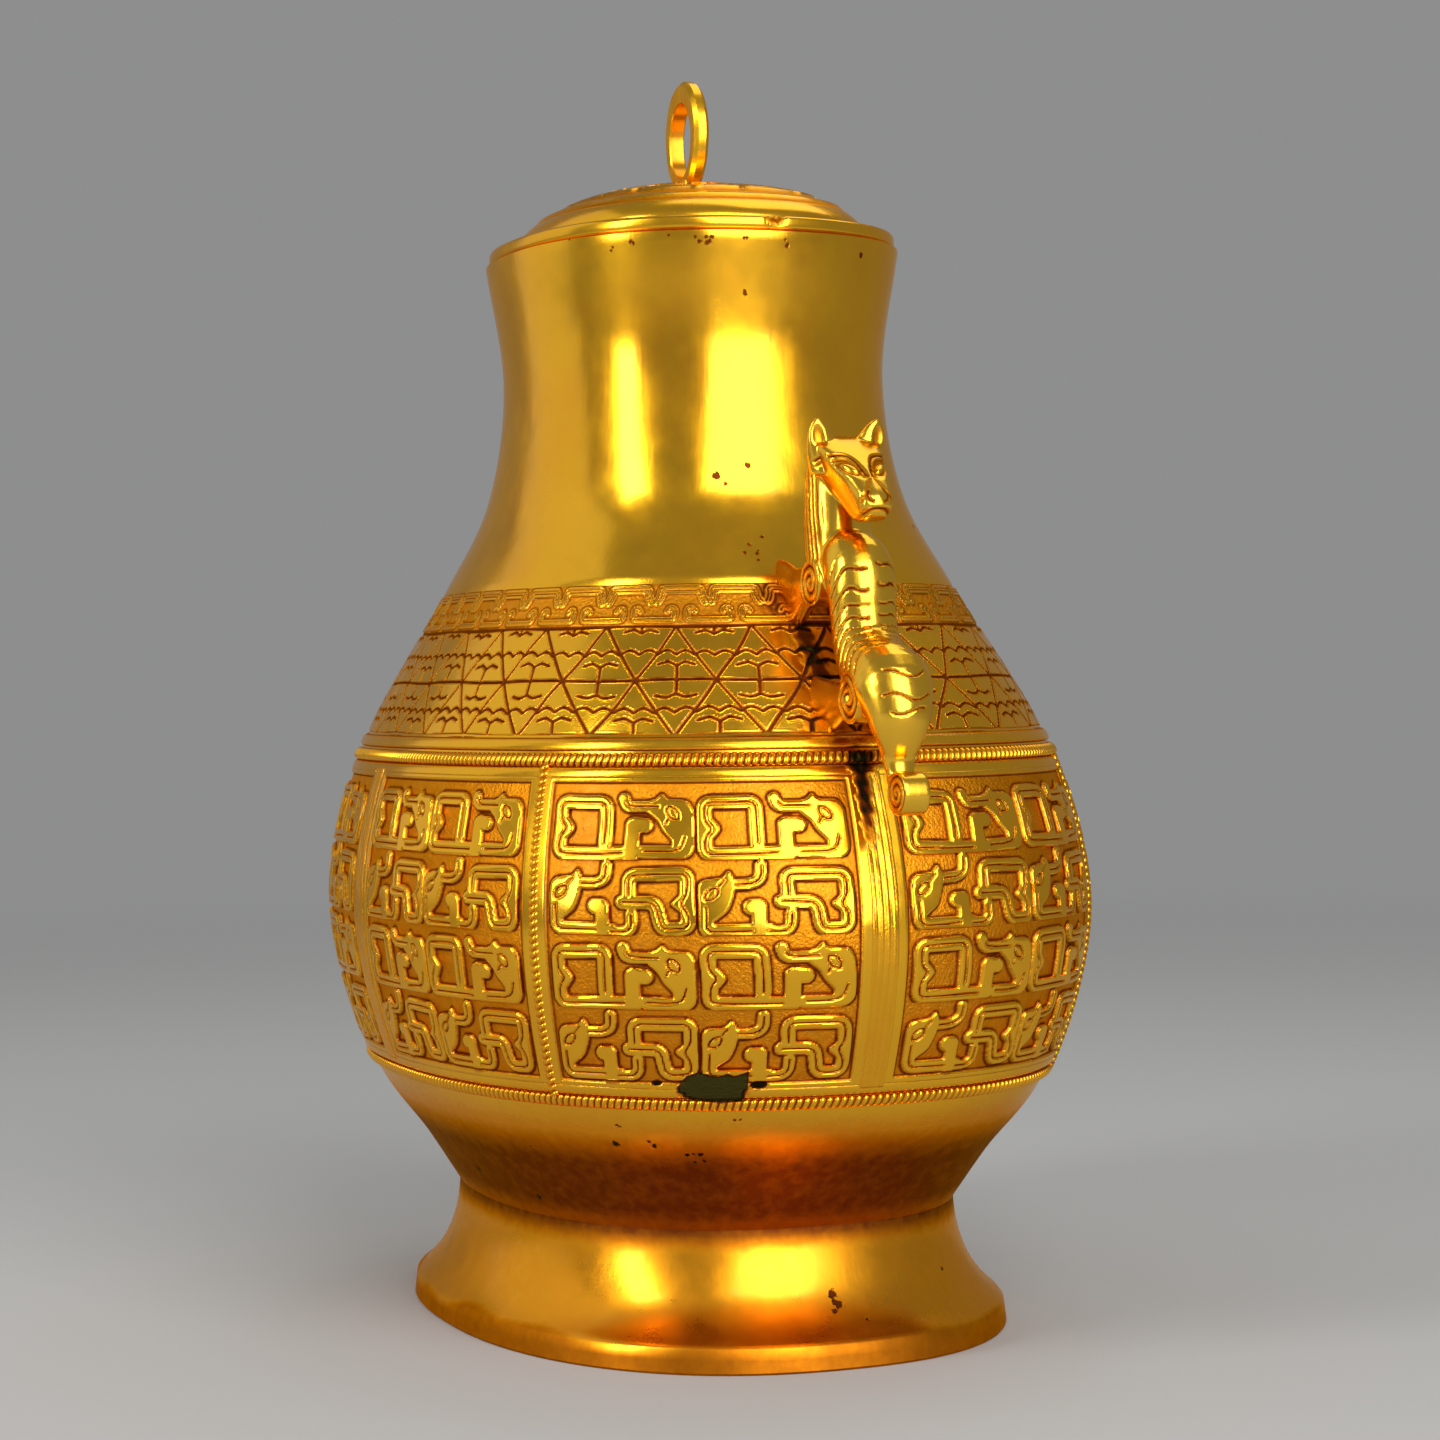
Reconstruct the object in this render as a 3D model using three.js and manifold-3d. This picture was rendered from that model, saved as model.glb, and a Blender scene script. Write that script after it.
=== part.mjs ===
// A lidded oval jar of gilt bronze, with two climbing tigers as its handles.
// Millimetres, +Z up. The origin is the middle of the foot's underside.
// X runs through the two handles, along the long axis of the oval; Y runs through the broad sides.
import * as THREE from 'three';
import * as BufferGeometryUtils from 'three/addons/utils/BufferGeometryUtils.js';
import Module from 'manifold-3d';

const wasm = await Module();
wasm.setup();

// Driving dimensions

// The oval is a superellipse: 2 is a true ellipse, and more is squarer.
const ovalPower = 2.3;
const ringSides = 48;
const seatGap = 0.3;

// The jar's outline from the ground up: heights, half lengths along X and half widths along Y
const footHeight = 37.5;
const footTopHalfLength = 95.5;
const footTopHalfWidth = 70.4;
const undersideHeight = 53;
const undersideHalfLength = 107.8;
const undersideHalfWidth = 80;
const lowerBellyHeight = 77;
const lowerBellyHalfLength = 128.8;
const lowerBellyHalfWidth = 96;
const bellyHeight = 126;
const bellyHalfLength = 142.4;
const bellyHalfWidth = 107.6;
const upperBellyHeight = 173;
const upperBellyHalfLength = 128.6;
const upperBellyHalfWidth = 98.8;
const shoulderHeight = 222;
const shoulderHalfLength = 94.2;
const shoulderHalfWidth = 73.4;
const neckBaseHeight = 250;
const neckBaseHalfLength = 76.4;
const neckBaseHalfWidth = 60.2;
const neckHeight = 286;
const neckHalfLength = 69.3;
const neckHalfWidth = 55.1;
const rimHeight = 324.5;
const rimHalfLength = 74.7;
const rimHalfWidth = 60.1;
const jarStations = [
  { height: footHeight, halfLength: footTopHalfLength, halfWidth: footTopHalfWidth },
  { height: undersideHeight, halfLength: undersideHalfLength, halfWidth: undersideHalfWidth },
  { height: lowerBellyHeight, halfLength: lowerBellyHalfLength, halfWidth: lowerBellyHalfWidth },
  { height: bellyHeight, halfLength: bellyHalfLength, halfWidth: bellyHalfWidth },
  { height: upperBellyHeight, halfLength: upperBellyHalfLength, halfWidth: upperBellyHalfWidth },
  { height: shoulderHeight, halfLength: shoulderHalfLength, halfWidth: shoulderHalfWidth },
  { height: neckBaseHeight, halfLength: neckBaseHalfLength, halfWidth: neckBaseHalfWidth },
  { height: neckHeight, halfLength: neckHalfLength, halfWidth: neckHalfWidth },
  { height: rimHeight, halfLength: rimHalfLength, halfWidth: rimHalfWidth },
];
const wall = 3.8;
const floorThickness = 5;

// The foot ring
const footHalfLength = 115.2;
const footHalfWidth = 84.2;
const footEdgeHeight = 7.5;
const footEdgeTaper = 0.8;
const footWall = 4.5;
const flareHeight = 17;
const flareSpread = 1;

// The lid
const lidInset = 1.2;
const lidEdgeThickness = 4.4;
const lidEdgeRound = 1.2;
const domeShare = 0.86;
const domeRise = 17;
const domeWall = 3.4;
const spigotClearance = 0.8;
const spigotThickness = 2.8;
const spigotDepth = 13;

// The loop on the lid, seen square on
const loopHeight = 34.3;
const loopWidth = 27;
const loopThickness = 4.9;
const loopBar = 4.6;
const loopFootWidth = 11;
const loopHoleDrop = 1.1;

// The relief framework on the belly
const upperRopeHeight = 172.4;
const lowerRopeHeight = 77.4;
const ropeWidth = 3.6;
const ropeRise = 1.7;
const shoulderBandWidth = 3.6;
const panelBandWidth = 3.2;
const bandRise = 1;
const bandGap = 0.5;
const strapWidth = 11;
const strapRise = 1.1;
const fringeWidth = 1.5;
const fringeRise = 0.9;
const uprightWeb = 0.5;
const strapSteps = 9;

// The raised dragons in the eight panels: four rows of two, each with a coiled half and a headed half
const octants = 8;
const dragonRows = 4;
const dragonColumns = 2;
const dragonBar = 4;
const dragonRise = 1.2;
const dragonRowGap = 1.3;
const dragonHalfGap = 0.6;
const panelMargin = 1.9;
const ropeMargin = 5.6;
const strapMargin = 8.2;

// The tiger handles
const hipAboveRope = 19.1;
const tigerStandoff = 30;
const shoulderScrollRadius = 6.7;
const hipScrollRadius = 7.1;
const scrollStandout = 10.6;
const earWidth = 7.8;
const earHeight = 8.3;
const earSpread = 7.2;
const tailWidth = 8;
const curlRadius = 5.9;
const forelegThickness = 3.5;
const hindLegThickness = 3.9;
const forepawHeight = 18;
const hindPawHeight = 16;
const pawSink = 4;

// Materials
const gilt = new THREE.MeshStandardMaterial({ color: 0xd9a52c, roughness: 0.28, metalness: 1 });
const giltWarm = new THREE.MeshStandardMaterial({ color: 0xc98a1e, roughness: 0.38, metalness: 1 });
const giltPale = new THREE.MeshStandardMaterial({ color: 0xd8b248, roughness: 0.24, metalness: 1 });

// Oval sections

// Points round an oval at even arc lengths, counted from +X towards +Y.
function ovalPoints(halfLength, halfWidth, fractions) {
  const steps = 360;
  const table = [];
  const lengths = [0];
  for (let i = 0; i <= steps; i += 1) {
    const angle = (2 * Math.PI * i) / steps;
    const c = Math.cos(angle);
    const s = Math.sin(angle);
    const x = halfLength * Math.sign(c) * Math.abs(c) ** (2 / ovalPower);
    const y = halfWidth * Math.sign(s) * Math.abs(s) ** (2 / ovalPower);
    table.push([x, y]);
    if (i > 0) {
      const [px, py] = table[i - 1];
      lengths.push(lengths[i - 1] + Math.hypot(x - px, y - py));
    }
  }
  const total = lengths[steps];
  return fractions.map((fraction) => {
    const wanted = (fraction - Math.floor(fraction)) * total;
    let low = 0;
    let high = steps;
    while (high - low > 1) {
      const middle = Math.floor((low + high) / 2);
      if (lengths[middle] <= wanted) low = middle;
      else high = middle;
    }
    const share = (wanted - lengths[low]) / (lengths[high] - lengths[low]);
    const [ax, ay] = table[low];
    const [bx, by] = table[high];
    return { x: ax + share * (bx - ax), y: ay + share * (by - ay), perimeter: total };
  });
}

function evenFractions(count) {
  return Array.from({ length: count }, (_, i) => i / count);
}

function ovalRing(halfLength, halfWidth, height, fractions = evenFractions(ringSides)) {
  const points = ovalPoints(halfLength, halfWidth, fractions);
  return points.map((p) => new THREE.Vector3(p.x, p.y, height));
}

// The outside of the jar: half length and half width at any height
const jarCurve = new THREE.CatmullRomCurve3(
  jarStations.map((s) => new THREE.Vector3(s.halfLength, s.halfWidth, s.height)),
);
const jarSamples = jarCurve.getPoints(400);

function jarAt(height) {
  const last = jarSamples.length - 2;
  let i = jarSamples.findIndex((p) => p.z > height) - 1;
  if (i < -1) i = last;
  i = Math.max(0, Math.min(last, i));
  const low = jarSamples[i];
  const high = jarSamples[i + 1];
  const share = (height - low.z) / (high.z - low.z);
  return {
    halfLength: low.x + share * (high.x - low.x),
    halfWidth: low.y + share * (high.y - low.y),
  };
}

function jarRing(height, offset, fractions) {
  const { halfLength, halfWidth } = jarAt(height);
  return ovalRing(halfLength + offset, halfWidth + offset, height, fractions);
}

// Distance climbed along the wall at each sample, to space the rows of dragons evenly
const climbs = [0];
jarSamples.slice(1).forEach((p, i) => {
  const before = jarSamples[i];
  climbs.push(climbs[i] + Math.hypot((p.x - before.x + p.y - before.y) / 2, p.z - before.z));
});

function lookUp(value, from, to) {
  const above = from.findIndex((place) => place > value);
  const i = above < 0 ? from.length - 2 : Math.max(0, above - 1);
  return to[i] + ((to[i + 1] - to[i]) * (value - from[i])) / (from[i + 1] - from[i]);
}

const sampleHeights = jarSamples.map((p) => p.z);
const climbTo = (height) => lookUp(height, sampleHeights, climbs);
const heightAt = (climbed) => lookUp(climbed, climbs, sampleHeights);

function spread(from, to, count) {
  return Array.from({ length: count }, (_, i) => from + ((to - from) * i) / (count - 1));
}

// Levels of the framework on the belly
const bandPitch = ropeWidth / 2 + bandGap;
const shoulderBandHeight = upperRopeHeight + bandPitch + shoulderBandWidth / 2;
const panelTopHeight = upperRopeHeight - bandPitch - panelBandWidth / 2;
const panelBottomHeight = lowerRopeHeight + bandPitch + panelBandWidth / 2;
const dragonLow = climbTo(panelBottomHeight + panelBandWidth / 2) + panelMargin;
const dragonHigh = climbTo(panelTopHeight - panelBandWidth / 2) - panelMargin;
const dragonTall = (dragonHigh - dragonLow) / dragonRows;

// Places round the belly: the middle of each strap or rope, and the edges and middle of each dragon.
// Straps stand at even eighths of the way round, and ropes at odd ones.
const bellyGirth = ovalPoints(bellyHalfLength, bellyHalfWidth, [0])[0].perimeter;
const halfDragonWide = (bellyGirth / octants - ropeMargin - strapMargin) / (2 * dragonColumns);
const panelFractions = spread(0, octants - 1, octants).flatMap((octant) => {
  const margin = octant % 2 === 0 ? strapMargin : ropeMargin;
  const edges = spread(0, 2 * dragonColumns, 2 * dragonColumns + 1);
  const places = edges.map((edge) => margin + edge * halfDragonWide);
  return [0, ...places].map((place) => octant / octants + place / bellyGirth);
});

// The levels of the wall's facets. Those round the belly follow the dragons, with one more above and below.
const firstDragonLevel = 3;
const levelsAbove = 10;
const lowLevels = spread(footHeight, heightAt(dragonLow), firstDragonLevel + 1).slice(0, -1);
const dragonLevels = spread(dragonLow, dragonHigh, dragonRows + 1).map(heightAt);
const highLevels = spread(heightAt(dragonHigh), rimHeight - wall / 4, levelsAbove + 1).slice(1);
const wallLevels = [
  ...lowLevels.map((height, i) => ({ height, belly: i === firstDragonLevel - 1 })),
  ...dragonLevels.map((height) => ({ height, belly: true })),
  ...highLevels.map((height, i) => ({ height, belly: i === 0 })),
];

function wallRings(offset) {
  return wallLevels.map(({ height, belly }) => jarRing(height, offset, belly ? panelFractions : undefined));
}

// Closed skins

// Fills a facet with a figure standing up from it
function raiseFigure(positions, indices, corners, outline) {
  const points = corners.map((corner) => new THREE.Vector3().fromArray(positions, corner * 3));
  const up = points[2].clone().sub(points[0]).cross(points[3].clone().sub(points[1])).normalize();
  const base = positions.length / 3;
  const place = ([across, along], rise) => {
    const low = points[0].clone().lerp(points[1], across);
    const high = points[3].clone().lerp(points[2], across);
    positions.push(...low.lerp(high, along).addScaledVector(up, rise).toArray());
  };
  outline.forEach((spot) => place(spot, 0));
  outline.forEach((spot) => place(spot, dragonRise));
  const count = outline.length;
  const rim = [[0, 0], [1, 0], [1, 1], [0, 1]];
  const flat = (spots) => spots.map(([x, y]) => new THREE.Vector2(x, y));
  const add = (spots, names, face) => {
    const [a, b, c] = face.map((n) => spots[n]);
    const turn = (b[0] - a[0]) * (c[1] - a[1]) - (b[1] - a[1]) * (c[0] - a[0]);
    const order = turn > 0 ? face : [face[0], face[2], face[1]];
    indices.push(...order.map((n) => names[n]));
  };
  const ground = [...rim, ...outline];
  const groundNames = [...corners, ...outline.map((_, n) => base + n)];
  const topNames = outline.map((_, n) => base + count + n);
  THREE.ShapeUtils.triangulateShape(flat(rim), [flat(outline).reverse()]).forEach((face) => {
    // The hole was handed over in reverse, so its numbers run backwards.
    add(ground, groundNames, face.map((n) => (n < 4 ? n : 4 + count - 1 - (n - 4))));
  });
  THREE.ShapeUtils.triangulateShape(flat(outline), []).forEach((face) => add(outline, topNames, face));
  outline.forEach((_, n) => {
    const m = (n + 1) % count;
    indices.push(base + n, base + m, topNames[m], base + n, topNames[m], topNames[n]);
  });
}

// Joins rings of points into a closed skin. Each ring turns by the right hand about the way the rings go.
// With loop, the last ring joins the first; otherwise both ends are capped.
// outlineAt(ring, side) may give a raised figure for a facet, as points across and up it from 0 to 1.
function skin(rings, loop = false, outlineAt = () => null) {
  const sides = rings[0].length;
  const positions = rings.flatMap((ring) => ring.flatMap((p) => [p.x, p.y, p.z]));
  const indices = [];
  const spans = loop ? rings.length : rings.length - 1;
  for (let i = 0; i < spans; i += 1) {
    const here = i * sides;
    const next = ((i + 1) % rings.length) * sides;
    for (let j = 0; j < sides; j += 1) {
      const k = (j + 1) % sides;
      const corners = [here + j, here + k, next + k, next + j];
      const outline = outlineAt(i, j);
      if (outline) raiseFigure(positions, indices, corners, outline);
      else indices.push(corners[0], corners[1], corners[2], corners[0], corners[2], corners[3]);
    }
  }
  if (!loop) {
    [0, rings.length - 1].forEach((ringIndex) => {
      const ring = rings[ringIndex];
      const centre = ring.reduce((sum, p) => sum.add(p), new THREE.Vector3()).divideScalar(sides);
      const hub = positions.length / 3;
      const start = ringIndex * sides;
      positions.push(centre.x, centre.y, centre.z);
      for (let j = 0; j < sides; j += 1) {
        const k = (j + 1) % sides;
        if (ringIndex === 0) indices.push(hub, start + k, start + j);
        else indices.push(hub, start + j, start + k);
      }
    });
  }
  const geometry = new THREE.BufferGeometry();
  geometry.setAttribute('position', new THREE.Float32BufferAttribute(positions, 3));
  geometry.setIndex(indices);
  return geometry;
}

// Solids that can be joined and cut

function solidOf(geometry) {
  const bare = geometry.clone();
  bare.deleteAttribute('normal');
  bare.deleteAttribute('uv');
  const merged = BufferGeometryUtils.mergeVertices(bare, 1e-4);
  return new wasm.Manifold(new wasm.Mesh({
    numProp: 3,
    vertProperties: new Float32Array(merged.attributes.position.array),
    triVerts: new Uint32Array(merged.index.array),
  }));
}

function geometryOf(solid) {
  const mesh = solid.getMesh();
  const geometry = new THREE.BufferGeometry();
  geometry.setAttribute('position', new THREE.BufferAttribute(new Float32Array(mesh.vertProperties), 3));
  geometry.setIndex(new THREE.BufferAttribute(new Uint32Array(mesh.triVerts), 1));
  return geometry;
}

function joined(geometries) {
  return geometries.map(solidOf).reduce((sum, solid) => sum.add(solid));
}

const jar = new THREE.Group();

function addPart(name, geometry, material, turn = 0) {
  const mesh = new THREE.Mesh(geometry, material);
  mesh.name = name;
  mesh.rotation.z = turn;
  jar.add(mesh);
}

// The dragons. Each is drawn in two halves, in boxes of a width and a height: one half coils back on
// itself and the other has the head, with a horn and a leg.

function risingCoil(w, h) {
  const bar = dragonBar;
  return [
    [0, 0], [w, 0], [w, bar], [bar, bar], [bar, h - bar], [0.86 * w - bar, h - bar],
    [0.86 * w - bar, 0.36 * h], [0.86 * w, 0.36 * h], [0.86 * w, h], [0, h],
  ];
}

function risingHead(w, h) {
  const bar = dragonBar;
  return [
    [0, 0], [w, 0], [w, 0.86 * h], [0.6 * w, h], [0, 0.94 * h], [0, 0.74 * h], [0.42 * w, 0.68 * h],
    [0.72 * w, bar], [0.25 * w, bar], [0.25 * w, 0.56 * h], [0, 0.56 * h],
  ];
}

function fallingHead(w, h) {
  const bar = dragonBar;
  return [
    [0, 0], [w, 0], [w, 0.5 * h], [0.74 * w, 0.5 * h], [0.74 * w, bar], [0.2 * w, bar],
    [0.48 * w, 0.64 * h], [0.9 * w, 0.72 * h], [0.9 * w, h], [0.66 * w, 0.92 * h], [0, 0.8 * h],
  ];
}

function fallingCoil(w, h) {
  const bar = dragonBar;
  return [
    [0, 0.38 * h], [0.34 * w, 0.38 * h], [0.44 * w, 0], [w, 0], [w, h], [0, h], [0, h - bar],
    [w - bar, h - bar], [w - bar, bar], [0.66 * w, bar], [0.56 * w, 0.6 * h], [0, 0.6 * h],
  ];
}

// The figure on a facet of the wall, if it has one. The top row of a panel rises and the next falls.
function dragonAt(level, side) {
  const row = level - firstDragonLevel;
  const half = (side % (ringSides / octants)) - 1;
  if (row < 0 || row >= dragonRows || half < 0 || half >= 2 * dragonColumns) return null;
  const rising = (dragonRows - 1 - row) % 2 === 0;
  const drawn = half % 2 === 0 ? [risingCoil, fallingHead] : [risingHead, fallingCoil];
  const margin = [dragonHalfGap / 2, dragonRowGap / 2];
  const size = [halfDragonWide, dragonTall];
  const outline = drawn[rising ? 0 : 1](size[0] - dragonHalfGap, size[1] - dragonRowGap);
  return outline.map((spot) => spot.map((place, axis) => (place + margin[axis]) / size[axis]));
}

// The jar's body: outside up to the rim, over it, and down the inside to the floor

function bodyGeometry() {
  const lipRound = wall / 4;
  const inside = spread(rimHeight - lipRound, footHeight + floorThickness, 9).map((z) => jarRing(z, -wall));
  const lip = [
    jarRing(rimHeight, -lipRound),
    jarRing(rimHeight, lipRound - wall),
  ];
  return skin([...wallRings(0), ...lip, ...inside], false, dragonAt);
}

addPart('vessel_body', bodyGeometry(), gilt);

// The foot ring: an upright edge, a hollow flare up to the body, and the same inside

function footGeometry() {
  const top = jarAt(footHeight);
  const edge = {
    halfLength: footHalfLength - footEdgeTaper,
    halfWidth: footHalfWidth - footEdgeTaper,
  };
  const flare = (edgeSize, topSize) => new THREE.QuadraticBezierCurve(
    new THREE.Vector2(edgeSize, footEdgeHeight),
    new THREE.Vector2(topSize + flareSpread, flareHeight),
    new THREE.Vector2(topSize, footHeight),
  ).getPoints(6);
  const lengths = flare(edge.halfLength, top.halfLength);
  const widths = flare(edge.halfWidth, top.halfWidth);
  const outside = [
    { halfLength: footHalfLength, halfWidth: footHalfWidth, height: 0 },
    ...lengths.map((p, i) => ({ halfLength: p.x, halfWidth: widths[i].x, height: p.y })),
  ];
  const ring = (s, offset) => ovalRing(s.halfLength + offset, s.halfWidth + offset, s.height);
  return skin([
    ...outside.map((s) => ring(s, 0)),
    ...[...outside].reverse().map((s) => ring(s, -footWall)),
  ], true);
}

addPart('foot_ring', footGeometry(), gilt);

// The lid: a rounded edge plate and a hollow dome with a small flat on top for the loop

const rim = jarAt(rimHeight);
const lidHalfLength = rim.halfLength - lidInset;
const lidHalfWidth = rim.halfWidth - lidInset;
const domeFoot = rimHeight + lidEdgeThickness;
const domeTop = domeFoot + domeRise;

function lidGeometry() {
  const oval = (share, offset, height) => ovalRing(
    lidHalfLength * share + offset,
    lidHalfWidth * share + offset,
    height,
  );
  const topFlatShare = 0.1;
  const domeAngles = spread(0, Math.acos(topFlatShare), 6);
  const outside = domeAngles.map((angle) => (
    oval(domeShare * Math.cos(angle), 0, domeFoot + domeRise * Math.sin(angle))
  ));
  const inside = [...domeAngles].reverse().map((angle) => (
    oval(domeShare * Math.cos(angle), -domeWall * Math.cos(angle), rimHeight + domeRise * Math.sin(angle))
  ));
  const crown = ovalRing(
    lidHalfLength * domeShare * topFlatShare,
    lidHalfWidth * domeShare * topFlatShare,
    domeTop,
  );
  const edge = [
    oval(1, -lidEdgeRound, rimHeight),
    oval(1, 0, rimHeight + lidEdgeRound),
    oval(1, 0, domeFoot - lidEdgeRound),
    oval(1, -lidEdgeRound, domeFoot),
  ];
  return skin([...inside, ...edge, ...outside, crown]);
}

addPart('lid_cover', lidGeometry(), gilt);

// The spigot under the lid, which drops into the mouth

function spigotGeometry() {
  const bottom = rimHeight - spigotDepth;
  const offset = -wall - spigotClearance;
  const narrow = jarAt(bottom);
  const outer = (height) => {
    const here = jarAt(Math.min(height, bottom));
    return ovalRing(here.halfLength + offset, here.halfWidth + offset, height);
  };
  const inner = (height) => ovalRing(
    narrow.halfLength + offset - spigotThickness,
    narrow.halfWidth + offset - spigotThickness,
    height,
  );
  return skin([outer(bottom), outer(rimHeight), inner(rimHeight), inner(bottom)], true);
}

addPart('lid_spigot', spigotGeometry(), gilt);

// The loop: a flat standing ring with a small square foot, in the plane of the handles

function loopGeometry() {
  const middle = loopHeight / 2;
  const outline = new THREE.Shape();
  outline.absellipse(0, middle, loopWidth / 2, middle, 0, 2 * Math.PI, false);
  const holeWidth = loopWidth / 2 - loopBar;
  const holeHeight = middle - loopBar - loopHoleDrop;
  const hole = new THREE.Path();
  hole.absellipse(0, middle - loopHoleDrop, holeWidth, holeHeight, 0, 2 * Math.PI, true);
  outline.holes.push(hole);
  const bevel = 0.6;
  const ring = new THREE.ExtrudeGeometry(outline, {
    depth: loopThickness - 2 * bevel,
    bevelThickness: bevel,
    bevelSize: bevel,
    bevelOffset: -bevel,
    bevelSegments: 1,
    curveSegments: 14,
  });
  ring.rotateX(Math.PI / 2);
  ring.translate(0, loopThickness / 2 - bevel, 0);
  const footDepth = loopBar * 0.75;
  const foot = new THREE.BoxGeometry(loopFootWidth, loopThickness, footDepth);
  foot.translate(0, 0, footDepth / 2);
  const solid = joined([ring, foot]);
  const hollow = new THREE.CylinderGeometry(1, 1, loopThickness * 2, 28);
  hollow.scale(holeWidth, 1, holeHeight);
  hollow.translate(0, 0, middle - loopHoleDrop);
  const geometry = geometryOf(solid.subtract(solidOf(hollow)));
  geometry.translate(0, 0, domeTop);
  return geometry;
}

addPart('lid_loop', loopGeometry(), giltWarm);

// Bands and ropes that run round the jar. A profile lists [height, rise] from the top edge, out and down.

function bandGeometry(height, profile) {
  const lines = profile.map(([dz, rise]) => jarRing(height + dz, rise, panelFractions));
  return skin(panelFractions.map((_, i) => lines.map((line) => line[i])), true);
}

function ropeProfile() {
  const half = ropeWidth / 2;
  return [
    [half, seatGap],
    [half * 0.75, seatGap + ropeRise * 0.7],
    [0, seatGap + ropeRise],
    [-half * 0.75, seatGap + ropeRise * 0.7],
    [-half, seatGap],
  ];
}

function flatProfile(width, rise) {
  const half = width / 2;
  return [
    [half, seatGap],
    [half * 0.8, seatGap + rise],
    [-half * 0.8, seatGap + rise],
    [-half, seatGap],
  ];
}

addPart('shoulder_band', bandGeometry(shoulderBandHeight, flatProfile(shoulderBandWidth, bandRise)), gilt);
addPart('rope_upper', bandGeometry(upperRopeHeight, ropeProfile()), giltPale);
addPart('panel_band_top', bandGeometry(panelTopHeight, flatProfile(panelBandWidth, bandRise)), gilt);
addPart('panel_band_bottom', bandGeometry(panelBottomHeight, flatProfile(panelBandWidth, bandRise)), gilt);
addPart('rope_lower', bandGeometry(lowerRopeHeight, ropeProfile()), giltPale);

// Upright strips between the two panel bands. A profile lists [offset along the oval, rise], anticlockwise.

function uprightGeometry(share, profile) {
  const low = panelBottomHeight + panelBandWidth / 2 + bandGap;
  const high = panelTopHeight - panelBandWidth / 2 - bandGap;
  const rings = spread(low, high, strapSteps).map((z) => profile.map(([along, rise]) => {
    const here = jarAt(z);
    const { perimeter } = ovalPoints(here.halfLength, here.halfWidth, [0])[0];
    const fraction = share + along / perimeter;
    const [p] = ovalPoints(here.halfLength + rise, here.halfWidth + rise, [fraction]);
    return new THREE.Vector3(p.x, p.y, z);
  }));
  return skin(rings);
}

function strapProfile(width, rise) {
  const half = width / 2;
  return [
    [0, seatGap],
    [-half, seatGap],
    [-half * 0.9, seatGap + rise],
    [0, seatGap + rise],
    [half * 0.9, seatGap + rise],
    [half, seatGap],
  ];
}

// A rope between two plain fillets, on one narrow strip
function ropeUprightProfile() {
  const half = ropeWidth / 2;
  const edge = half + bandGap + fringeWidth;
  const rightSide = [
    [half * 0.75, seatGap + ropeRise * 0.7],
    [half + bandGap / 2, seatGap + uprightWeb],
    [half + bandGap, seatGap + fringeRise],
    [edge - fringeWidth * 0.2, seatGap + fringeRise],
    [edge, seatGap],
  ];
  const leftSide = [...rightSide].reverse().map(([along, rise]) => [-along, rise]);
  return [[0, seatGap], ...leftSide, [0, seatGap + ropeRise], ...rightSide];
}

const uprightNames = [
  'strap_right', 'rope_back_right', 'strap_back', 'rope_back_left',
  'strap_left', 'rope_front_left', 'strap_front', 'rope_front_right',
];
uprightNames.forEach((name, i) => {
  const plain = i % 2 === 0;
  const profile = plain ? strapProfile(strapWidth, strapRise) : ropeUprightProfile();
  addPart(name, uprightGeometry(i / uprightNames.length, profile), plain ? gilt : giltPale);
});

// The tiger handle

// Where the tiger's lines lie: out from the wall at its hip, and up from the hip
const hipZ = upperRopeHeight + hipAboveRope;
const hipX = jarAt(hipZ).halfLength + tigerStandoff;
const shoulderAt = { out: -30.4, up: 29.2 };
const hipAt = { out: -4.6, up: -3 };
const curlAt = { out: 11.7, up: -28.6 };

// A closed loft along a line in the XZ plane. Each station gives its place out and up from the hip,
// its half width along Y, and its half depth across the line.
function loftAlong(stations, sides) {
  const points = stations.map((s) => new THREE.Vector3(hipX + s.out, s.aside || 0, hipZ + s.up));
  const rings = stations.map((s, i) => {
    const before = points[Math.max(0, i - 1)];
    const after = points[Math.min(points.length - 1, i + 1)];
    const way = after.clone().sub(before).normalize();
    const across = new THREE.Vector3(0, 1, 0).addScaledVector(way, -way.y).normalize();
    const depth = way.clone().cross(across);
    return evenFractions(sides).map((fraction) => {
      const angle = 2 * Math.PI * fraction;
      return points[i].clone()
        .addScaledVector(across, s.halfWidth * Math.cos(angle))
        .addScaledVector(depth, s.halfDepth * Math.sin(angle));
    });
  });
  return skin(rings);
}

// The trunk, from the breast down over the back to the haunch
const trunk = [
  { out: -28, up: 41, halfWidth: 4, halfDepth: 4 },
  { out: -25, up: 38, halfWidth: 8, halfDepth: 7 },
  { out: -20.5, up: 33.5, halfWidth: 9.6, halfDepth: 8.6 },
  { out: -17.8, up: 27.5, halfWidth: 9.8, halfDepth: 8.6 },
  { out: -17, up: 20, halfWidth: 9.3, halfDepth: 8 },
  { out: -14.8, up: 12.3, halfWidth: 9.6, halfDepth: 8.2 },
  { out: -8.6, up: 5.6, halfWidth: 10.6, halfDepth: 9.6 },
  { out: 1.8, up: -0.2, halfWidth: 11.2, halfDepth: 10.4 },
  { out: 6, up: -6.5, halfWidth: 9.4, halfDepth: 8.2 },
  { out: 7, up: -12, halfWidth: 5.5, halfDepth: 4.6 },
];

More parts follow.
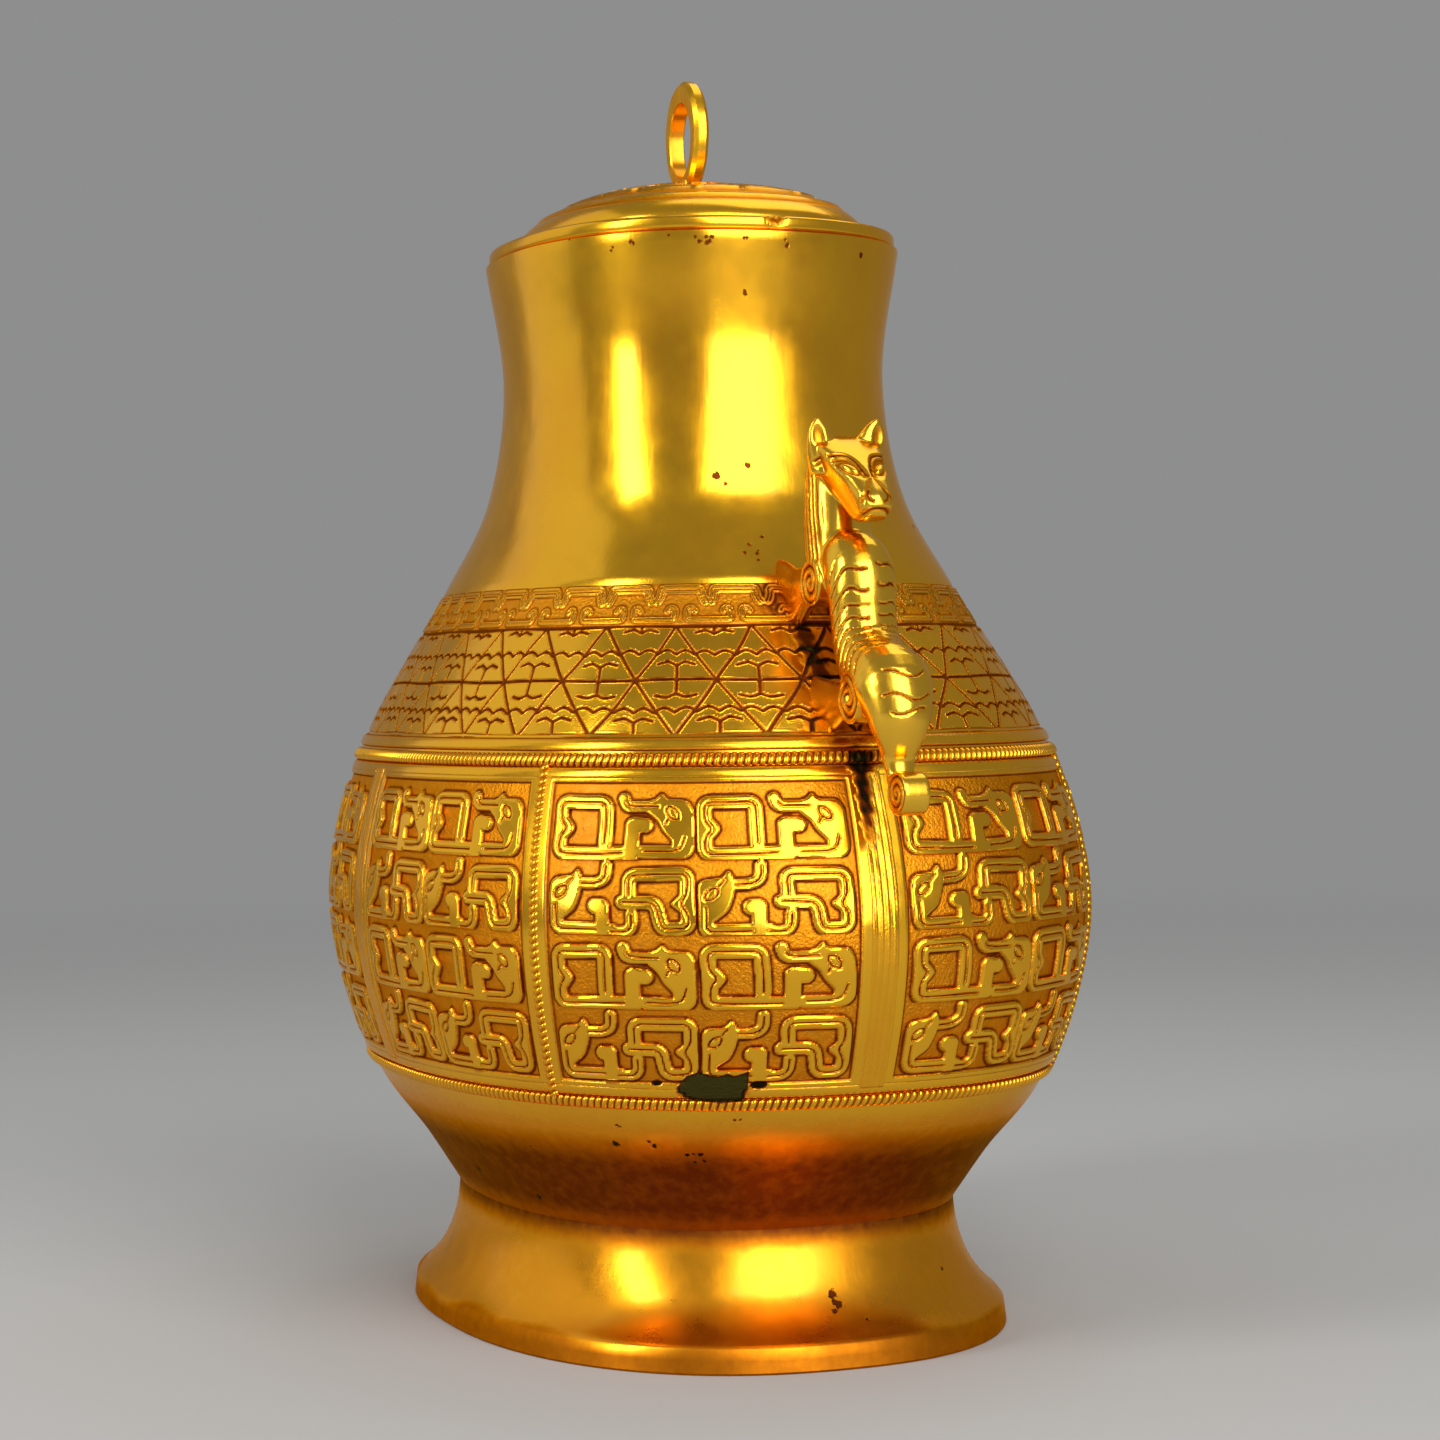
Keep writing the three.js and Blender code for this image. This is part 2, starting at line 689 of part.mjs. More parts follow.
// The neck, from inside the shoulders up into the back of the head
const neck = [
  { out: -24, up: 31, halfWidth: 8, halfDepth: 7 },
  { out: -30, up: 37, halfWidth: 7.6, halfDepth: 8 },
  { out: -33.6, up: 43, halfWidth: 6.6, halfDepth: 8.6 },
  { out: -35, up: 50, halfWidth: 7, halfDepth: 8.6 },
  { out: -36, up: 58, halfWidth: 7.6, halfDepth: 8 },
  { out: -36, up: 65, halfWidth: 6, halfDepth: 5.4 },
];

// The head, in level slices from the chin to the crown: back and front, out from the hip
const headSlices = [
  { up: 45.2, back: -20, front: -11, halfWidth: 3.6 },
  { up: 47.2, back: -28, front: -6.6, halfWidth: 5 },
  { up: 51, back: -37, front: -5.2, halfWidth: 5.8 },
  { up: 55.5, back: -43, front: -9.2, halfWidth: 6.8 },
  { up: 60, back: -45, front: -14.2, halfWidth: 8.4 },
  { up: 64.5, back: -46, front: -20, halfWidth: 10 },
  { up: 68.2, back: -43, front: -26.2, halfWidth: 10 },
  { up: 69.8, back: -39, front: -31, halfWidth: 7.4 },
];

function headGeometry() {
  const sides = 14;
  const power = 2 / 2.6;
  return skin(headSlices.map((s) => evenFractions(sides).map((fraction) => {
    const angle = 2 * Math.PI * fraction;
    const c = Math.cos(angle);
    const d = Math.sin(angle);
    const half = (s.front - s.back) / 2;
    const x = (s.front + s.back) / 2 + half * Math.sign(c) * Math.abs(c) ** power;
    return new THREE.Vector3(hipX + x, s.halfWidth * Math.sign(d) * Math.abs(d) ** power, hipZ + s.up);
  })));
}

// An upright ear, flattened front to back
function earGeometry(side) {
  const aside = side * earSpread;
  const half = earWidth / 2;
  const tilt = side * half * 0.4;
  const root = 66;
  return loftAlong([
    { out: -27.2, up: root - 1.5, aside, halfWidth: half, halfDepth: 2.8 },
    { out: -26.6, up: root + 3, aside: aside + tilt * 0.2, halfWidth: half * 0.92, halfDepth: 2 },
    { out: -26.1, up: root + earHeight * 0.7, aside: aside + tilt * 0.6, halfWidth: half * 0.6, halfDepth: 1.4 },
    { out: -25.8, up: root + earHeight, aside: aside + tilt, halfWidth: half * 0.2, halfDepth: 0.5 },
  ], 8);
}

// A short cylinder across the body, out to the same distance on both flanks
function crossDisc(place, radius, halfLength, sides) {
  const disc = new THREE.CylinderGeometry(radius, radius, 2 * halfLength, sides);
  disc.translate(hipX + place.out, 0, hipZ + place.up);
  return disc;
}

// A leg from a scroll to the wall, with its paw running into the wall before it is cut to it
function legGeometry(place, side, rise, thickness, pawHeight) {
  const { out, up } = place;
  const wallOut = jarAt(hipZ + up + rise).halfLength - hipX;
  const aside = side * (scrollStandout - thickness);
  const middle = (out + wallOut) / 2;
  return loftAlong([
    { out, up, aside, halfWidth: thickness, halfDepth: 5 },
    { out: middle, up: up + rise * 0.6, aside, halfWidth: thickness * 0.9, halfDepth: 5.2 },
    { out: wallOut + 3, up: up + rise, aside, halfWidth: thickness * 0.95, halfDepth: pawHeight * 0.37 },
    { out: wallOut - pawSink, up: up + rise, aside, halfWidth: thickness * 1.05, halfDepth: pawHeight / 2 },
  ], 8);
}

// The tail: a strap that hangs from the haunch and rolls outwards round its end
function tailGeometry() {
  const half = tailWidth / 2;
  return loftAlong([
    { out: 0, up: -3, halfWidth: half + 4, halfDepth: 6 },
    { out: 3.4, up: -9, halfWidth: half + 2, halfDepth: 4.6 },
    { out: 4.6, up: -16, halfWidth: half + 0.6, halfDepth: 3.3 },
    { out: 5.6, up: -21, halfWidth: half, halfDepth: 2.7 },
    { out: 7.4, up: -26.5, halfWidth: half - 0.2, halfDepth: 2.6 },
    { out: 9.5, up: -30, halfWidth: half - 0.4, halfDepth: 2.4 },
  ], 10);
}

function tigerGeometry() {
  const tiger = joined([
    loftAlong(trunk, 14),
    loftAlong(neck, 12),
    headGeometry(),
    earGeometry(1),
    earGeometry(-1),
    crossDisc(shoulderAt, shoulderScrollRadius, scrollStandout, 20),
    crossDisc(hipAt, hipScrollRadius, scrollStandout, 20),
    legGeometry(shoulderAt, 1, -1.7, forelegThickness, forepawHeight),
    legGeometry(shoulderAt, -1, -1.7, forelegThickness, forepawHeight),
    legGeometry(hipAt, 1, 2.5, hindLegThickness, hindPawHeight),
    legGeometry(hipAt, -1, 2.5, hindLegThickness, hindPawHeight),
    tailGeometry(),
    crossDisc(curlAt, curlRadius, tailWidth / 2, 20),
  ]);
  const wallCut = solidOf(skin(wallRings(seatGap)));
  return geometryOf(tiger.subtract(wallCut));
}

const tiger = tigerGeometry();
addPart('tiger_handle_right', tiger, giltPale);
addPart('tiger_handle_left', tiger.clone(), giltPale, Math.PI);

export default jar;
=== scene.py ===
# A lidded oval jar of gilt bronze with two climbing tigers as its handles.
# Sizes are in millimetres, and become metres where a mesh is made.
import math

import bmesh
import bpy
import numpy as np
from mathutils import Matrix, Vector


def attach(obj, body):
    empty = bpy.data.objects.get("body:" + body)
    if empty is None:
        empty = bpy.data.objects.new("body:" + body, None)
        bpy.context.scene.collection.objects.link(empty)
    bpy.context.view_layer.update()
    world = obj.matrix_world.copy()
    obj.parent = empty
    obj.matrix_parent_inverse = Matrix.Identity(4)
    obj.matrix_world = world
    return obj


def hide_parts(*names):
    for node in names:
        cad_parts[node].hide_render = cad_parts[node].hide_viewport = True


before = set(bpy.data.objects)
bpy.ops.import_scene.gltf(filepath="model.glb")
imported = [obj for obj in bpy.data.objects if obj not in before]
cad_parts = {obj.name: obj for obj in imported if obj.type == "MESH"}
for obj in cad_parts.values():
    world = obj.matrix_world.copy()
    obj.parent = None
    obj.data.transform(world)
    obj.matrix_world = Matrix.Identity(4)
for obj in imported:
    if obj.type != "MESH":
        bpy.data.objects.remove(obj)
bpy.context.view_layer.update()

MM = 0.001
TINY = 1e-6

# The jar's outline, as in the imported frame: height, half length along X, half width along Y
OVAL_POWER = 2.3
FOOT_TOP = 37.5
RIM = 324.5
JAR_STATIONS = (
    (FOOT_TOP, 95.5, 70.4),
    (53, 107.8, 80),
    (77, 128.8, 96),
    (126, 142.4, 107.6),
    (173, 128.6, 98.8),
    (222, 94.2, 73.4),
    (250, 76.4, 60.2),
    (286, 69.3, 55.1),
    (RIM, 74.7, 60.1),
)
WALL = 3.8
FLOOR = 5
FOOT_LENGTH = 115.2
FOOT_WIDTH = 84.2
FOOT_EDGE = 7.5
FOOT_EDGE_TAPER = 0.8
FOOT_WALL = 4.5
FLARE_HEIGHT = 17
FLARE_SPREAD = 1

# The lid
LID_INSET = 1.2
LID_EDGE = 4.4
DOME_SHARE = 0.86
DOME_RISE = 17
DOME_WALL = 3.4
SPIGOT_CLEARANCE = 0.8
SPIGOT_WALL = 2.8
SPIGOT_DEPTH = 13

# The framework of ropes, bands and straps
ROPE_HIGH = 172.4
ROPE_LOW = 77.4
ROPE_WIDTH = 3.6
ROPE_RISE = 1.9
STRAND_PITCH = 2.1
STRAND_STEPS = 6
BAND_HIGH = 176.6
BAND_WIDTH = 3.6
STRAP_WIDTH = 12.6
STRAP_BAR_HALF = 4.5
STRAP_RISE = 1.2
PANEL_TOP = 167.6
PANEL_BOTTOM = 82.2
FRIEZE_LOW = 178.6
FRIEZE_MIDDLE = 194.1
FRIEZE_SPLIT = 209.3
FRIEZE_HIGH = 222.3
RELIEF = 1.3
SKIRT = 1.6


# The oval wall

def catmull_rom(points, per_span):
    """Points along the centripetal curve through the stations."""
    points = np.array(points, float)
    ends = np.vstack([2 * points[0] - points[1], points, 2 * points[-1] - points[-2]])
    steps = np.linalg.norm(np.diff(ends, axis=0), axis=1) ** 0.5
    curve = []
    for i in range(1, len(ends) - 2):
        before, start, end, after = ends[i - 1 : i + 3]
        a, b, c = steps[i - 1 : i + 2]
        leave = b * ((start - before) / a - (end - before) / (a + b) + (end - start) / b)
        arrive = b * ((end - start) / b - (after - start) / (b + c) + (after - end) / c)
        t = np.linspace(0, 1, per_span, endpoint=False)[:, None]
        curve.append(
            start
            + leave * t
            + (3 * (end - start) - 2 * leave - arrive) * t**2
            + (2 * (start - end) + leave + arrive) * t**3
        )
    curve.append(points[-1:])
    return np.vstack(curve)


JAR_CURVE = catmull_rom(JAR_STATIONS, 60)
OVAL_RATIOS = np.linspace(1.15, 1.6, 19)
OVAL_STEPS = 720


def oval_tables():
    """X and Y of a unit oval at even shares of its length, for each ratio of length to width."""
    angle = np.linspace(0, 2 * math.pi, 2880)
    share = np.linspace(0, 1, OVAL_STEPS + 1)
    cos, sin = np.cos(angle), np.sin(angle)
    x = np.sign(cos) * np.abs(cos) ** (2 / OVAL_POWER)
    y = np.sign(sin) * np.abs(sin) ** (2 / OVAL_POWER)
    tables = []
    for ratio in OVAL_RATIOS:
        length = np.concatenate([[0], np.cumsum(np.hypot(ratio * np.diff(x), np.diff(y)))])
        along = length / length[-1]
        tables.append((np.interp(share, along, x), np.interp(share, along, y), length[-1]))
    return [np.array(column) for column in zip(*tables)]


OVAL_X, OVAL_Y, OVAL_LENGTH = oval_tables()


def grid_value(table, row, column):
    """The value at a place between the entries of a table."""
    r, c = row.astype(int), np.minimum(column.astype(int), table.shape[1] - 2)
    down, over = row - r, column - c
    top = table[r, c] * (1 - over) + table[r, c + 1] * over
    bottom = table[r + 1, c] * (1 - over) + table[r + 1, c + 1] * over
    return top * (1 - down) + bottom * down


def oval_points(share, half_length, half_width):
    """X and Y at a share of the way round, from +X towards +Y."""
    step = (OVAL_RATIOS[-1] - OVAL_RATIOS[0]) / (len(OVAL_RATIOS) - 1)
    row = np.clip((half_length / half_width - OVAL_RATIOS[0]) / step, 0, len(OVAL_RATIOS) - 1.001)
    column = (share % 1) * OVAL_STEPS
    return half_length * grid_value(OVAL_X, row, column), half_width * grid_value(OVAL_Y, row, column)


def oval_place(share, half_length, half_width, height):
    x, y = oval_points(share, half_length, half_width)
    return np.stack([x, y, height], axis=-1)


def half_sizes(height):
    """Half length and half width of the jar's outside at a height."""
    return [np.interp(height, JAR_CURVE[:, 0], JAR_CURVE[:, column]) for column in (1, 2)]


def wall_points(share, height, rise=0.0):
    """Points on the jar's outside, or rise outwards from it."""
    share, height, rise = np.broadcast_arrays(
        np.asarray(share, float), np.asarray(height, float), np.asarray(rise, float)
    )
    length, width = half_sizes(height)
    return oval_place(share, length + rise, width + rise, height)


def perimeter(height):
    length, width = half_sizes(height)
    return width * np.interp(length / width, OVAL_RATIOS, OVAL_LENGTH)


def round_from(share, middle, height):
    """Millimetres round the wall from the share middle to share, the short way."""
    return ((share - middle + 0.5) % 1 - 0.5) * perimeter(height)


def climb_table():
    """Heights against the distance climbed along the wall."""
    middle = (JAR_CURVE[:, 1] + JAR_CURVE[:, 2]) / 2
    climbed = np.concatenate([[0], np.cumsum(np.hypot(np.diff(middle), np.diff(JAR_CURVE[:, 0])))])
    return JAR_CURVE[:, 0], climbed


CLIMB_HEIGHT, CLIMB_LENGTH = climb_table()


def climb(height):
    return np.interp(height, CLIMB_HEIGHT, CLIMB_LENGTH)


def height_at(climbed):
    return np.interp(climbed, CLIMB_LENGTH, CLIMB_HEIGHT)


def walk(path, along):
    """Each column of a path at shares of the way along its points."""
    path = np.asarray(path, float)
    steps = np.arange(len(path))
    at = along * (len(path) - 1)
    return [np.interp(at, steps, column) for column in path.T]


# Meshes

def vertex_array(mesh):
    flat = np.empty(len(mesh.vertices) * 3)
    mesh.vertices.foreach_get("co", flat)
    return flat.reshape(-1, 3)


def normals_of(mesh):
    flat = np.empty(len(mesh.vertices) * 3)
    mesh.vertex_normals.foreach_get("vector", flat)
    return flat.reshape(-1, 3)


def store(mesh, points):
    """Puts millimetre points into a mesh."""
    mesh.vertices.foreach_set("co", (points * MM).ravel())
    mesh.update()


def add_values(mesh, name, values):
    mesh.attributes.new(name, "FLOAT", "POINT").data.foreach_set("value", values.astype(np.float32))


def piece(name, mesh, material, body="vessel", stands_for=(), sharp=40):
    """A finished piece of the jar."""
    mesh.shade_smooth()
    mesh.set_sharp_from_angle(angle=math.radians(sharp))
    mesh.materials.clear()
    mesh.materials.append(material)
    obj = bpy.data.objects.new(name, mesh)
    bpy.context.collection.objects.link(obj)
    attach(obj, body)
    if stands_for:
        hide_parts(*stands_for)
    return obj


def mesh_of(bm, name):
    mesh = bpy.data.meshes.new(name)
    bm.to_mesh(mesh)
    bm.free()
    return mesh


def soften(bm, edges, width):
    """Bevels a set of edges."""
    bmesh.ops.bevel(
        bm, geom=list(edges), offset=width, segments=2, profile=0.5, affect="EDGES", material=-1
    )


def fill_openings(bm):
    bmesh.ops.holes_fill(bm, edges=[e for e in bm.edges if e.is_boundary], sides=0)


def sheet_mesh(name, columns, rows, around=False, along=False, caps=False):
    """A flat grid, whose ends may be joined round both ways. Its vertices hold their own 0 to 1 place."""
    bm = bmesh.new()
    bmesh.ops.create_grid(bm, x_segments=columns, y_segments=rows, size=0.5)
    bmesh.ops.translate(bm, verts=bm.verts, vec=(0.5, 0.5, 0))
    for axis, joined in enumerate((around, along)):
        if joined:
            start = sorted((v for v in bm.verts if v.co[axis] < TINY), key=lambda v: v.co[1 - axis])
            end = sorted((v for v in bm.verts if v.co[axis] > 1 - TINY), key=lambda v: v.co[1 - axis])
            bmesh.ops.weld_verts(bm, targetmap=dict(zip(end, start)))
    if caps:
        fill_openings(bm)
    return mesh_of(bm, name)


def tube_mesh(name, columns, rows, place, closed=False):
    """A skin whose rows are rings: columns run round it, rows along it."""
    mesh = sheet_mesh(name, columns, rows, around=True, along=closed, caps=not closed)
    spots = vertex_array(mesh)
    store(mesh, place(spots[:, 0], spots[:, 1]))
    return right_way_out(mesh)


def right_way_out(mesh):
    bm = bmesh.new()
    bm.from_mesh(mesh)
    bmesh.ops.recalc_face_normals(bm, faces=bm.faces)
    bm.to_mesh(mesh)
    bm.free()
    return mesh


def slab_mesh(name, columns, rows, back_rows=8):
    """A closed slab: a fine front at 0, a coarse back at -1, and four sides between them."""
    bm = bmesh.new()
    for depth, count in ((0, rows), (-1, back_rows)):
        place = Matrix.Translation((0.5, 0.5, depth))
        bmesh.ops.create_grid(bm, x_segments=columns, y_segments=count, size=0.5, matrix=place)
    for side in (0, 1):
        rails = [e for e in bm.edges if e.is_boundary and all(abs(v.co.y - side) < TINY for v in e.verts)]
        bmesh.ops.bridge_loops(bm, edges=rails)
    fill_openings(bm)
    bmesh.ops.recalc_face_normals(bm, faces=bm.faces)
    return mesh_of(bm, name)


def wall_slab(name, share, heights, cell, relief, base=0.15, row_cell=None):
    """A slab on the wall from share to share and height to height. relief gives rise and tone from
    0 to 1 places across and up it."""
    low, high = climb(heights[0]), climb(heights[1])
    middle = height_at((low + high) / 2)
    columns = max(2, round((share[1] - share[0]) * perimeter(middle) / cell))
    rows = max(2, round((high - low) / (row_cell or cell)))
    mesh = slab_mesh(name, columns, rows)
    spots = vertex_array(mesh)
    across, up, front = spots[:, 0], spots[:, 1], spots[:, 2] > -0.5
    around = share[0] + across * (share[1] - share[0])
    heights_up = height_at(low + up * (high - low))
    rise, tone = aged(around, heights_up, *relief(across, up))
    rise = np.where(front, base + rise, -SKIRT)
    store(mesh, wall_points(around, heights_up, rise))
    add_values(mesh, "tone", np.where(front, tone, 1.0))
    return mesh


# Drawn patterns. A stroke is a smoothed line with a half width; a patch is a closed outline.

def smoothed(points, turns=2):
    """Cuts the corners of a line, so that it bends like one drawn by hand."""
    line = np.array(points, float)
    for _ in range(turns):
        near = 0.75 * line[:-1] + 0.25 * line[1:]
        far = 0.25 * line[:-1] + 0.75 * line[1:]
        cut = np.stack([near, far], axis=1).reshape(-1, 2)
        line = np.vstack([line[:1], cut, line[-1:]])
    return line


def rounded(points, reach, closed=False):
    """A line whose corners are rounded off within reach of each."""
    line = np.array(points, float)
    count = len(line)
    bent = [] if closed else [line[:1]]
    for i in range(count) if closed else range(1, count - 1):
        before, corner, after = line[i - 1], line[i], line[(i + 1) % count]
        ends = []
        for other in (before, after):
            way = other - corner
            size = np.linalg.norm(way)
            ends.append(corner + way * min(reach, 0.45 * size) / max(size, 1e-9))
        t = np.linspace(0, 1, 5)[:, None]
        bent.append((1 - t) ** 2 * ends[0] + 2 * t * (1 - t) * corner + t**2 * ends[1])
    if not closed:
        bent.append(line[-1:])
    return np.vstack(bent)


def distance_to_line(x, y, line, closed=False):
    """Distance from each point to a line of straight pieces."""
    best = np.full(x.shape, 1e9)
    ends = np.roll(line, -1, axis=0) if closed else line[1:]
    for (ax, ay), (bx, by) in zip(line, ends):
        dx, dy = bx - ax, by - ay
        t = np.clip(((x - ax) * dx + (y - ay) * dy) / max(dx * dx + dy * dy, 1e-9), 0, 1)
        best = np.minimum(best, np.hypot(x - ax - t * dx, y - ay - t * dy))
    return best


def inside_patch(x, y, outline):
    inside = np.zeros(x.shape, bool)
    for (ax, ay), (bx, by) in zip(outline, np.roll(outline, -1, axis=0)):
        crosses = (ay > y) != (by > y)
        where = ax + (y - ay) * (bx - ax) / np.where(by == ay, 1e-9, by - ay)
        inside ^= crosses & (x < where)
    return inside


def depth_in_patch(x, y, outline):
    """Positive inside the outline, negative outside."""
    away = distance_to_line(x, y, outline, closed=True)
    return np.where(inside_patch(x, y, outline), away, -away)


def ramp(value, low, high):
    """0 up to low, 1 from high, and a soft step between them."""
    t = np.clip((value - low) / (high - low), 0, 1)
    return t * t * (3 - 2 * t)


def hump(away, reach):
    """1 where away is 0, falling off softly over reach on both sides."""
    return np.exp(-((away / reach) ** 2))


def blob(x, y, wide, tall):
    """1 within an oval and 0 outside it, with a soft edge."""
    return np.exp(-((x / wide) ** 2 + (y / tall) ** 2) ** 2)


FAR = 99.0


class Drawing:
    """A repeated motif, worked out once on a fine grid and then looked up. Its lines bend within bend."""

    def __init__(self, width, height, margin, strokes=(), patches=(), grooves=(), step=0.16, bend=0.9):
        self.low = np.array([-margin, -margin], float)
        size = np.array([width, height]) + 2 * margin
        self.step = step
        columns, rows = np.ceil(size / step).astype(int) + 1
        x, y = np.meshgrid(
            self.low[0] + step * np.arange(columns), self.low[1] + step * np.arange(rows)
        )
        self.solid = np.full(x.shape, -FAR)
        for half, points in strokes:
            away = distance_to_line(x, y, rounded(points, bend))
            self.solid = np.maximum(self.solid, half - away)
        for points in patches:
            outline = rounded(points, 0.6 * bend, closed=True)
            self.solid = np.maximum(self.solid, depth_in_patch(x, y, outline))
        self.groove = np.full(x.shape, FAR)
        for points in grooves:
            self.groove = np.minimum(self.groove, distance_to_line(x, y, rounded(points, bend)))

    def look(self, table, x, y):
        """The table's value at each place. Past its edge the nearest value fades towards its far one."""
        column = (x - self.low[0]) / self.step
        row = (y - self.low[1]) / self.step
        over = np.maximum.reduce([-column, -row, column - table.shape[1] + 1, row - table.shape[0] + 1])
        column = np.clip(column, 0, table.shape[1] - 1.001)
        row = np.clip(row, 0, table.shape[0] - 1.001)
        away = np.clip(over, 0, None) * self.step * (-1 if table is self.solid else 1)
        return grid_value(table, row, column) + away


# Dragon motifs, in a box MOTIF_WIDTH wide and MOTIF_HEIGHT tall

MOTIF_WIDTH = 100
MOTIF_HEIGHT = 50

def almond(x, y, length, height, turn):
    """The outline of an eye."""
    angles = np.linspace(0, 2 * math.pi, 16, endpoint=False)
    across = length * np.cos(angles)
    up = height * np.sin(angles) * np.abs(np.sin(angles)) ** 0.4
    c, s = math.cos(turn), math.sin(turn)
    outline = [(x + c * a - s * u, y + s * a + c * u) for a, u in zip(across, up)]
    return outline + outline[:1]


BAND = 5.0
RISING_STROKES = (
    (BAND, ((39.2, 14), (39.2, 43.5), (5.4, 43.5), (5.4, 6), (57, 6))),
    (5.2, ((58.1, 26), (58.1, 3))),
    (5.4, ((59, 26.2), (66.5, 25.4))),
    (4.2, ((52, 45.5), (54, 39.2), (62, 39), (79, 39.2))),
    (4.6, ((95, 30), (95.2, 6), (66, 6.5))),
)
RISING_PATCHES = (
    ((10, 33), (16.5, 24.2), (10, 15.5), (2, 24)),
    ((67.5, 43), (74.4, 44.5), (78.4, 49.6), (81.6, 44.6), (96, 44.2), (99.4, 38), (99.5, 10),
     (92, 8), (84.5, 10), (85.5, 14), (78.5, 21.5), (75, 29), (67.5, 35.2)),
)
RISING_GROOVES = (
    ((39.2, 13.6), (39.2, 43.5), (5.4, 43.5), (5.4, 30), (10.5, 24.2), (5.4, 18), (5.4, 6), (52, 6)),
    ((54.5, 43), (56.5, 39.6), (76, 39.4)),
    ((67, 6.6), (84, 6.8), (91, 9), (93.5, 18)),
    almond(85.5, 34.5, 5.6, 3.4, -0.9),
    ((82.5, 30.5), (80.5, 27)),
)
FALLING_STROKES = (
    (4.8, ((4.9, 30), (4.9, 5), (44, 5))),
    (3.9, ((21, 37.5), (34, 37.5), (40.6, 41), (41, 50.5))),
    (4.9, ((38.2, 21), (38.2, 1))),
    (5.6, ((37.6, 21.4), (33.6, 21.4))),
    (3.9, ((42, 4), (54.5, 4), (58.3, 8), (58.4, 17))),
    (4.8, ((56.9, 29.5), (56.9, 44.2), (95.2, 44.2), (95.2, 6), (78, 5.4), (74.5, 24.6), (52.6, 25))),
)
FALLING_PATCHES = (
    ((0.2, 10), (0.4, 37), (3.3, 41), (11.4, 42), (16.5, 42.4), (20.5, 48.4), (24, 41.5), (24, 35),
     (22, 27), (18.5, 18.5), (12, 13.4), (8, 10.5)),
    ((92, 36), (91.5, 30), (83.6, 23), (91.2, 17), (92, 12), (98, 12), (98, 36)),
)
FALLING_GROOVES = (
    ((4.9, 22), (4.9, 5), (34, 5)),
    ((24, 37.5), (34, 37.5), (40.6, 41), (41, 50)),
    ((44, 4), (54.5, 4), (58.3, 8), (58.4, 16.5)),
    ((56.9, 29.5), (56.9, 44.2), (95.2, 44.2), (95.2, 30), (90.5, 23.2), (95.2, 16), (95.2, 6), (78, 5.4),
     (74.5, 24.6), (53, 25)),
    almond(8.9, 31, 5.6, 3.1, 0.75),
    ((13.6, 36.5), (17.5, 41)),
)

MOTIF_MARGIN = 4
MOTIF_STEP = 0.4
MOTIF_BEND = 5.5
rising_dragon, falling_dragon = (
    Drawing(MOTIF_WIDTH, MOTIF_HEIGHT, MOTIF_MARGIN, *lines, MOTIF_STEP, MOTIF_BEND)
    for lines in (
        (RISING_STROKES, RISING_PATCHES, RISING_GROOVES),
        (FALLING_STROKES, FALLING_PATCHES, FALLING_GROOVES),
    )
)

PANEL_ROWS = 4
PANEL_UNITS = 2
FRAME_ROPE = 5.6
FRAME_STRAP = 8.2
FRAME_TOP = 2.6
FRAME_BOTTOM = 3.0
FRAME_RISE = 0.95
ROW_GAP = 1.3
UNIT_GAP = 0.3
LINE_CUT = 0.7
GROUND_TONE = 0.54


